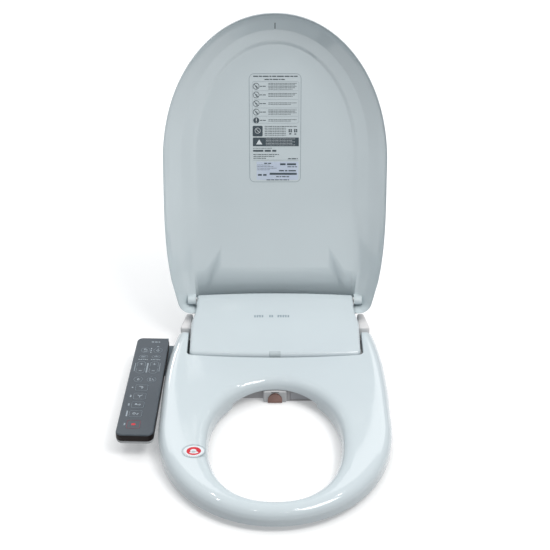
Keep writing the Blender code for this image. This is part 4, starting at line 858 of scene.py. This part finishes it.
PANEL_MIDDLE = (-220.8 * MM, -178.6 * MM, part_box("panel_fascia")[1].z)
PANEL_YAW = math.radians(-1.82)
PANEL_PIVOT = Matrix.Translation(PANEL_MIDDLE) @ Matrix.Rotation(PANEL_YAW, 4, "Z")
KEYS = (
    ("key_wash", -9.9, 96, 16.5, 16.5, 0), ("key_bidet", 12, 96, 16.5, 16.5, 0),
    ("key_dry", -10.9, 77, 16, 11, 0), ("key_mode", 11, 77, 16, 11, 0),
    ("key_water_up", -11.8, 55.5, 15, 15.5, 4), ("key_water_down", -11.8, 36.5, 15, 15.5, 4),
    ("key_heat_up", 10.6, 55.5, 15, 15.5, 4), ("key_heat_down", 10.6, 36.5, 15, 15.5, 4),
    ("key_turbo", -11.8, 12, 16.5, 16, 0), ("key_child", 10.8, 12, 16.5, 16, 0),
    ("key_seat", -3, -10.4, 22, 17.5, 3.5), ("key_power_save", -3.2, -33.6, 22, 17.5, 3.5),
    ("key_clean", -3.6, -56.4, 22, 17.5, 3.5), ("key_night", -4, -79.5, 22, 17.5, 3.5),
    ("key_stop", -4, -106.5, 22.5, 21, 3.5),
)
PAIRED = {"key_water_up": 1, "key_water_down": -1, "key_heat_up": 1, "key_heat_down": -1}
ICONS = {
    "key_wash": [ring(ellipse(4, 4, (-1, 2.6)), 0.8), stroke((-3, -3.4), (3.4, -3.4), 0.9),
                 stroke((2.4, 2.6), (2.4, -1.4), 0.8)],
    "key_bidet": [ring(ellipse(5, 5, (0, -0.6)), 0.8), [ellipse(1.4, 1.4, (0, 4), 12)]],
    "key_dry": [stroke((-4, 1.4), (4, 1.4), 0.8), stroke((-4, -1.2), (2, -1.2), 0.8)],
    "key_mode": [stroke((-4, 0), (4, 0), 0.8), [ellipse(1.8, 1.8, (0, 2.2), 12)]],
    "key_water_up": [stroke((0, -2.4), (0, 2.6), 0.9), stroke((-2.4, 0.1), (2.4, 0.1), 0.9)],
    "key_water_down": [stroke((-2.4, 0), (2.4, 0), 1.1)],
    "key_heat_up": [stroke((0, -2.4), (0, 2.6), 0.9), stroke((-2.4, 0.1), (2.4, 0.1), 0.9)],
    "key_heat_down": [stroke((-2.4, 0), (2.4, 0), 1.1)],
    "key_turbo": [ring(ellipse(3.4, 5.4, (0, 0)), 0.8)],
    "key_child": [ring(ellipse(3, 3, (-2.6, 1.6)), 0.6), stroke((1, 2.8), (3.6, -2.6), 0.9),
                  stroke((-4, -2.4), (0, -2.4), 0.8)],
    "key_seat": [stroke((-4.6, 3), (0, 3), 1), stroke((-2, 1), (3.4, 1), 1),
                 stroke((0.8, 3.4), (0.8, -3.6), 1)],
    "key_power_save": [stroke((-4, 3.2), (0, 0.2), 1), stroke((0, 0.2), (4.4, 3.2), 1),
                       stroke((0, 0.2), (0, -3.6), 1)],
    "key_clean": [stroke((-5, 0), (5, 0), 1.1), [ellipse(3.4, 3.4, (-3, 1.6), 16)],
                  ring(ellipse(4, 4, (3, 0.4)), 0.9)],
    "key_night": [ring(ellipse(5, 5, (-2.6, 0.4)), 0.9), stroke((1.6, 0.4), (5, 0.4), 1),
                  stroke((1.6, -2.4), (4, -2.4), 1)],
}


def key_shape(width, height, radius, middle, grow=0.0):
    """A rounded or round key outline in millimetres."""
    width, height = width + 2 * grow, height + 2 * grow
    if radius:
        return rounded_rectangle(width, height, radius + grow, middle)
    return ellipse(width, height, middle)


def panel_shape(grow=0.0):
    """The panel's outline in metres, grown by some millimetres."""
    outline = [(-30.7, -133.5), (30.7, -133.5), (28.65, 133.5), (-28.65, 133.5)]
    return scaled([[inset(fillet(outline, range(4), 11), -grow)]])[0][0]


def band_top(x, y):
    """The height of the side band, black and darkened further with painted shade, sunk under the keys so
    that they can be pressed.
    """
    return (-5 if abs(x) < 26 * MM and -127 * MM < y < 110 * MM else -1.6) * MM


def panel_pieces():
    holes = [(scaled([[key_shape(w, h, r, (x, y), 0.2)]])[0][0], 0, 0) for _, x, y, w, h, r in KEYS]
    film = pillow("panel_film_top", FILM, [(panel_shape(-0.5), 1.2 * MM, 0.9 * MM)] + holes,
                  lambda x, y: 0, lambda x, y: -2.2 * MM, step=1.6 * MM)
    place(film, "housing", PANEL_PIVOT)
    # Its near-black colour is partly the band's own black, partly painted shade.
    band = pillow("panel_side_band", SIDE_BLACK_AND_SHADE, [(panel_shape(-0.05), 1.6 * MM, 1.4 * MM)],
                  band_top, lambda x, y: -12.5 * MM, step=3 * MM, lip=1.8 * MM)
    place(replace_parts(band, "panel_fascia"), "housing", PANEL_PIVOT)
    for name, x, y, w, h, r in KEYS:
        stop = name == "key_stop"
        cap = pillow(name + "_cap", FILM,
                     [(scaled([[key_shape(w, h, r, (x, y))]])[0][0], 0.4 * MM, 0.1 * MM)],
                     lambda a, b: 0.06 * MM, lambda a, b: -1.5 * MM, step=1.4 * MM)
        place(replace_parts(cap, name), name, PANEL_PIVOT)
        lines = [ring(key_shape(w, h, r, (x, y), -0.5), 0.5)]
        if name in PAIRED:
            far, near = (h / 2 - 0.6) * PAIRED[name], (-h / 2 + 0.6) * PAIRED[name]
            half, turn = w / 2 - 0.6, (h / 2 - 4) * PAIRED[name]
            path = [(-half, near), (-half, turn), (-half + 3.4, far),
                    (half - 3.4, far), (half, turn), (half, near)]
            lines = scaled([stroke(a, b, 0.55) for a, b in zip(path, path[1:])], 1, (x, y))
        icon = [[rounded_rectangle(6.4, 4.6, 1)]] if stop else ICONS[name]
        icon = scaled(scaled(icon, 1, (x, y)))
        for suffix, look, shapes in (("_outline", DIM_RED_PRINT if stop else DIM_PRINT, scaled(lines)),
                                     ("_sign", RED_PRINT if stop else KEY_PRINT, icon)):
            inked = marks(name + suffix, look, shapes, lambda a, b: 0.07 * MM)
            place(inked, name, PANEL_PIVOT)


panel_pieces()
legend = words(-2, 13, 121, 2, (2, 2.4, 1.6)) + [bar(0, y, 1.6, 3) for y in (101, 95.5, 90)]
legend += [bar(11, 107.5, 4, 1.2)]
for left in (-19, 3):
    legend += words(left, left + 16, 68.6, 1.5, (1.6, 2, 1.2))
for n in range(9):
    legend += [bar(-22, 36 + n * 2.6, 1.2, 1.6), bar(-0.8, 33 + n * 3, 2.4, 1.9)]
    legend += [bar(20.6, 36 + n * 2.6, 1, 1.4)]
for y, length in ((-10.4, 1), (-33.6, 2), (-56.4, 2), (-79.5, 5), (-106.5, 2)):
    legend += [bar(-18.4, y + 2.9 * (n - (length - 1) / 2), 2.4, 2.1) for n in range(length)]
legend_print = marks("panel_legend", KEY_PRINT, scaled(legend), lambda x, y: 0.02 * MM)
place(legend_print, "housing", PANEL_PIVOT)


# ---------------------------------------------------------------- floor, light and camera

floor_mesh = bpy.data.meshes.new("floor")
floor_mesh.from_pydata([(-8, -4, 0), (8, -4, 0), (8, 10, 0), (-8, 10, 0)], [], [(0, 1, 2, 3)])
floor_paint = material("floor_paint", (0.84, 0.84, 0.84), 0.9, bump=0.02, patch=2)
floor_shader = floor_paint.node_tree.nodes["Principled BSDF"]
floor_shader.inputs["Emission Color"].default_value = (1, 1, 1, 1)
floor_shader.inputs["Emission Strength"].default_value = 0.2
floor_mesh.materials.append(floor_paint)
floor = bpy.data.objects.new("floor", floor_mesh)
bpy.context.scene.collection.objects.link(floor)
floor.visible_diffuse = False

world = bpy.context.scene.world or bpy.data.worlds.new("studio")
bpy.context.scene.world = world
world.use_nodes = True
sky = world.node_tree.nodes["Background"]
sky.inputs["Color"].default_value = (0.93, 0.965, 1.0, 1)
sky.inputs["Strength"].default_value = 0.41


def softbox(name, location, target, size, power, colour=(1, 1, 1)):
    """A rectangular lamp aimed at a point."""
    light = bpy.data.lights.new(name, "AREA")
    light.shape = "RECTANGLE"
    light.size, light.size_y = size
    light.energy = power
    light.color = colour
    made = bpy.data.objects.new(name, light)
    made.location = location
    aim = Vector(target) - Vector(location)
    made.rotation_euler = aim.to_track_quat("-Z", "Y").to_euler()
    bpy.context.scene.collection.objects.link(made)
    return made


softbox("overhead_light", (0, -0.2, 3.0), (0, -0.25, 0), (3.2, 2.2), 36).visible_glossy = False
softbox("window_light", (-1.15, 1.66, 0.95), (-0.15, -0.1, 0.05), (0.3, 0.25), 3)
softbox("key_light", (1.1, -1.0, 2.3), (0, -0.1, 0.2), (1.2, 0.8), 24, (1, 0.99, 0.97))
softbox("floor_wash", (0, 2.6, 2.4), (0, 2.2, 0), (5, 1.6), 40)
SPOTS = ((-1.3, -0.4), (-0.5, -1.3), (0.5, -0.9), (1.2, 0.1), (-0.9, 0.5), (0.3, -1.9))
for number, (x, y) in enumerate(SPOTS):
    softbox(f"ceiling_spot_{number}", (x, y, 2.5), (x, y, 0), (0.07, 0.07), 1.6)

camera = bpy.data.cameras.new("camera")
camera.lens = 75.27
camera.sensor_width = 36
viewpoint = bpy.data.objects.new("camera", camera)
viewpoint.location = (0, -1.7228, 1.2383)
viewpoint.rotation_euler = (math.radians(57.73), 0, 0)
bpy.context.scene.collection.objects.link(viewpoint)
bpy.context.scene.camera = viewpoint
bpy.context.scene.view_settings.view_transform = "Standard"
